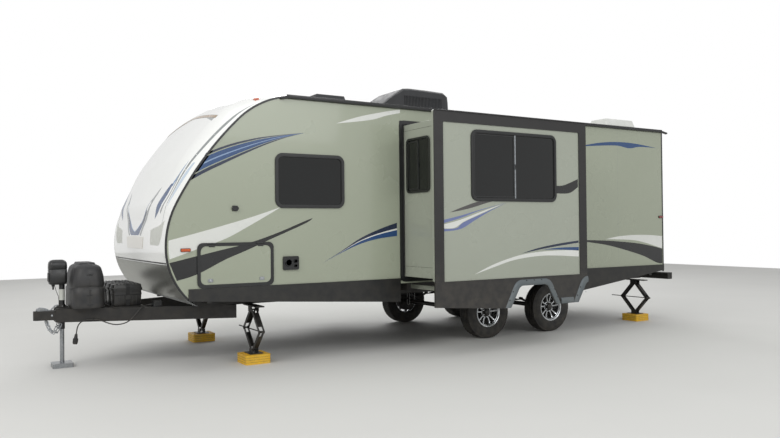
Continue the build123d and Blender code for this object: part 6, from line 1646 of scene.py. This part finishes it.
def makeTongueDetails():
    # Coupler: stamped lip, the bright latch on top with its lever, and the pin
    sizes = dict(ballX=-0.225)
    shape = bmesh.new()
    nose = [(sizes["ballX"] + 0.0517 * math.cos(math.radians(angle)), 0.056 * math.sin(math.radians(angle)))
            for angle in range(90, 271, 10)]
    nose = [(0.02, 0.076)] + nose + [(0.02, -0.076)]
    inner = [(x + (0.0045 if x < sizes["ballX"] else 0), y * 0.90) for x, y in nose]
    skin(shape, [[Vector((x, y, 0.5052)), Vector((x, y, 0.5135)), Vector((a, b, 0.5155)), Vector((a, b, 0.5052))]
            for (x, y), (a, b) in zip(nose, inner)])
    makePiece("couplerLip", shape, "chassisPaint", "trailer", "black_steel", smooth=35)
    solid("couplerLatch", "zincSteel", "zinc_steel", (slab, [(-0.252, 0.606), (-0.246, 0.626), (-0.212, 0.639),
            (-0.155, 0.627), (-0.118, 0.604), (-0.124, 0.598), (-0.240, 0.598)], sidePoint(1), -0.0165, 0.0165),
            bevel=0.003)
    solid("couplerLever", "zincSteel", "zinc_steel", (slab, [(-0.120, 0.604), (-0.112, 0.610), (-0.070, 0.652),
            (-0.040, 0.660), (-0.038, 0.654), (-0.066, 0.645), (-0.104, 0.603)], sidePoint(1), -0.013, 0.013),
            bevel=0.0012)
    solid("couplerPin", "galvanised", "zinc_steel", (turned, [(-0.022, 0.0085), (-0.020, 0.010), (-0.017, 0.010),
            (-0.017, 0.0055), (0.017, 0.0055), (0.017, 0.010), (0.020, 0.010), (0.022, 0.0085)], (-0.200, 0, 0.618),
            (0, 1, 0), 20), smooth=30)
    # Bolts that hold the coupler to the A-frame's nose
    makeRow("couplerBolts", shaped((turned, [(0, 0.0125), (0.002, 0.0125), (0.0022, 0.0095), (0.0105, 0.0095),
            (0.0115, 0.0085)], (0, 0, 0), (0, -1, 0), 6)), "zincSteel", "trailer", "zinc_steel", 2,
            (-0.105, -0.0745, 0.552), (0.052, -0.0038, 0), bevel=0.0006)
    # Junction box lid
    solid("junctionLid", "mouldedBlack", "black_plastic", (slab, roundedOutline(0.838, 0.922, -0.475, -0.405, 0.008,
            4), levelPoint, 0.6145, 0.6206), bevel=0.0012)


def makePads():
    # Each stand is four moulded blocks deep: joints between them and the waffle on top
    sizes = dict(half=0.140, height=0.100, layers=4)
    for index, (x, y) in enumerate(padPlaces):
        joint = bmesh.new()
        outer = roundedOutline(x - sizes["half"] - 0.0004, x + sizes["half"] + 0.0004, y - sizes["half"] - 0.0004,
                y + sizes["half"] + 0.0004, 0.020, 5)
        inner = roundedOutline(x - sizes["half"] + 0.002, x + sizes["half"] - 0.002, y - sizes["half"] + 0.002,
                y + sizes["half"] - 0.002, 0.018, 5)
        ring(joint, outer, inner, levelPoint, -0.0010, 0.0010)
        makeRow("padJoints_%d" % index, joint, "rubberSeal", "trailer", "yellow_pad", sizes["layers"] - 1,
                (0, 0, sizes["height"] / sizes["layers"]), (0, 0, sizes["height"] / sizes["layers"]))
        makeRow("padRibs_%d" % index, shaped((block, (x - sizes["half"] + 0.012, y - 0.0015, -0.0006),
                (x + sizes["half"] - 0.012, y + 0.0015, 0.0016))), "padYellow", "trailer", "yellow_pad", 9,
                (0, -0.112, sizes["height"]), (0, 0.028, 0))


def makeRoofDetails():
    # Sealant round the roof's fittings, the skylight among them, and the sewer and fridge vents' caps
    def roofAt(y):
        radius = (bodyHalf ** 2 + 0.090 ** 2) / 0.180
        return 2.960 - radius + math.sqrt(radius ** 2 - y ** 2)

    for name, (x0, x1, y0, y1) in {"Vent": (2.800, 3.265, -0.410, 0.010), "Skylight": (7.42, 8.08, -0.83, -0.45),
            "Unit": (3.78, 4.84, -0.365, 0.365)}.items():
        outer = roundedOutline(x0 - 0.022, x1 + 0.022, y0 - 0.022, y1 + 0.022, 0.030, 4)
        inner = roundedOutline(x0 + 0.006, x1 - 0.006, y0 + 0.006, y1 - 0.006, 0.012, 4)
        solid("roofSealant" + name, "ventWhite", "vent_white", (skin, [[Vector((a, b, roofAt(b) - 0.001)),
                Vector((a, b, roofAt(b) + 0.0025)), Vector((c, d, roofAt(d) + 0.005)),
                Vector((c, d, roofAt(d) - 0.001))] for (a, b), (c, d) in zip(outer + outer[:1],
                inner + inner[:1])]), smooth=60)
    for index, (x, y) in enumerate(((5.55, 0.62), (7.05, 0.58), (2.45, 0.55))):
        base = roofAt(y) - 0.001
        solid("roofPipe_%d" % index, "mouldedBlack" if index == 1 else "ventWhite", "vent_white",
                (turned, [(0, 0.058), (0.004, 0.056), (0.008, 0.030), (0.070, 0.028), (0.072, 0.052),
                (0.076, 0.055), (0.096, 0.050), (0.104, 0.030)], (x, y, base), (0, 0, 1), 36), smooth=35)


def makeStepDetails():
    # Grip treads on the entry step: a black mat with raised bars
    sizes = dict(x=(3.630, 4.170), y=(1.265, 1.485), top=0.532)
    solid("stepMat", "rubberSeal", "black_steel", (slab, roundedOutline(*sizes["x"], *sizes["y"], 0.012, 4),
            levelPoint, sizes["top"] - 0.0004, sizes["top"] + 0.0016), body="entry_step", bevel=0.0006)
    makeRow("stepBars", shaped((block, (sizes["x"][0] + 0.015, -0.003, 0), (sizes["x"][1] - 0.015, 0.003, 0.0032))),
            "galvanised", "entry_step", "black_steel", 10, (0, sizes["y"][0] + 0.020, sizes["top"] + 0.0012),
            (0, 0.020, 0), bevel=0.0008)


def makeHatches():
    # Door side: refrigerator vent with slanted louvres, and the water heater's door with its small grille
    def slats(name, x, z, wide, tall, count):
        solid(name + "Rim", "mouldedBlack", "black_plastic", (ring, around(x, z, wide / 2, tall / 2, 0.020, 5),
                roundedOutline(x - wide / 2 + 0.022, x + wide / 2 - 0.022, z - tall / 2 + 0.022,
                z + tall / 2 - 0.022, 0.010, 5), doorWallPlace, 0.0118, 0.0165), bevel=0.0015)
        makeRow(name + "Slats", shaped((skin, [[Vector((u, bodyHalf + 0.0118, 0.0)),
                Vector((u, bodyHalf + 0.0158, -0.004)), Vector((u, bodyHalf + 0.0150, -0.006)),
                Vector((u, bodyHalf + 0.0118, -0.003))] for u in (x - wide / 2 + 0.035, x + wide / 2 - 0.035)])),
                "mouldedBlack", "trailer", "black_plastic", count, (0, 0, z - tall / 2 + 0.045),
                (0, 0, (tall - 0.08) / count))

    slats("fridgeVent", 7.350, 1.120, 0.480, 0.420, 14)
    slats("heaterVent", 2.500, 1.070, 0.400, 0.400, 6)
    shape = bmesh.new()
    for x in (2.36, 2.64):
        slab(shape, roundedOutline(x - 0.02, x + 0.02, 1.235, 1.255, 0.006, 4), doorWallPlace, 0.0115, 0.019)
    makePiece("heaterCatches", shape, "zincSteel", "trailer", "zinc_steel", bevel=0.0012)


def makeUnderneath():
    # U-bolts of the leaf springs over the axles
    sizes = dict(springWide=0.045, rod=0.0065)
    for name, x in (("Front", frontAxle), ("Rear", rearAxle)):
        for side, tag in ((street, "Street"), (doorSide, "Door")):
            y = side * springOffset
            shape = bmesh.new()
            for dx in (-0.042, 0.042):
                half = sizes["springWide"] / 2 + 0.010
                tube(shape, [(x + dx, y - half, axleHeight + 0.118), (x + dx, y - half, axleHeight - 0.02),
                        (x + dx, y - half * 0.8, axleHeight - 0.045), (x + dx, y, axleHeight - 0.052),
                        (x + dx, y + half * 0.8, axleHeight - 0.045), (x + dx, y + half, axleHeight - 0.02),
                        (x + dx, y + half, axleHeight + 0.118)], sizes["rod"], 8)
            makePiece("springBolts%s%s" % (name, tag), shape, "galvanised", "trailer", "axle_steel", smooth=50)


makeCable()
makeTongueDetails()
makePads()
makeRoofDetails()
makeStepDetails()
makeHatches()
makeUnderneath()
print("details done")
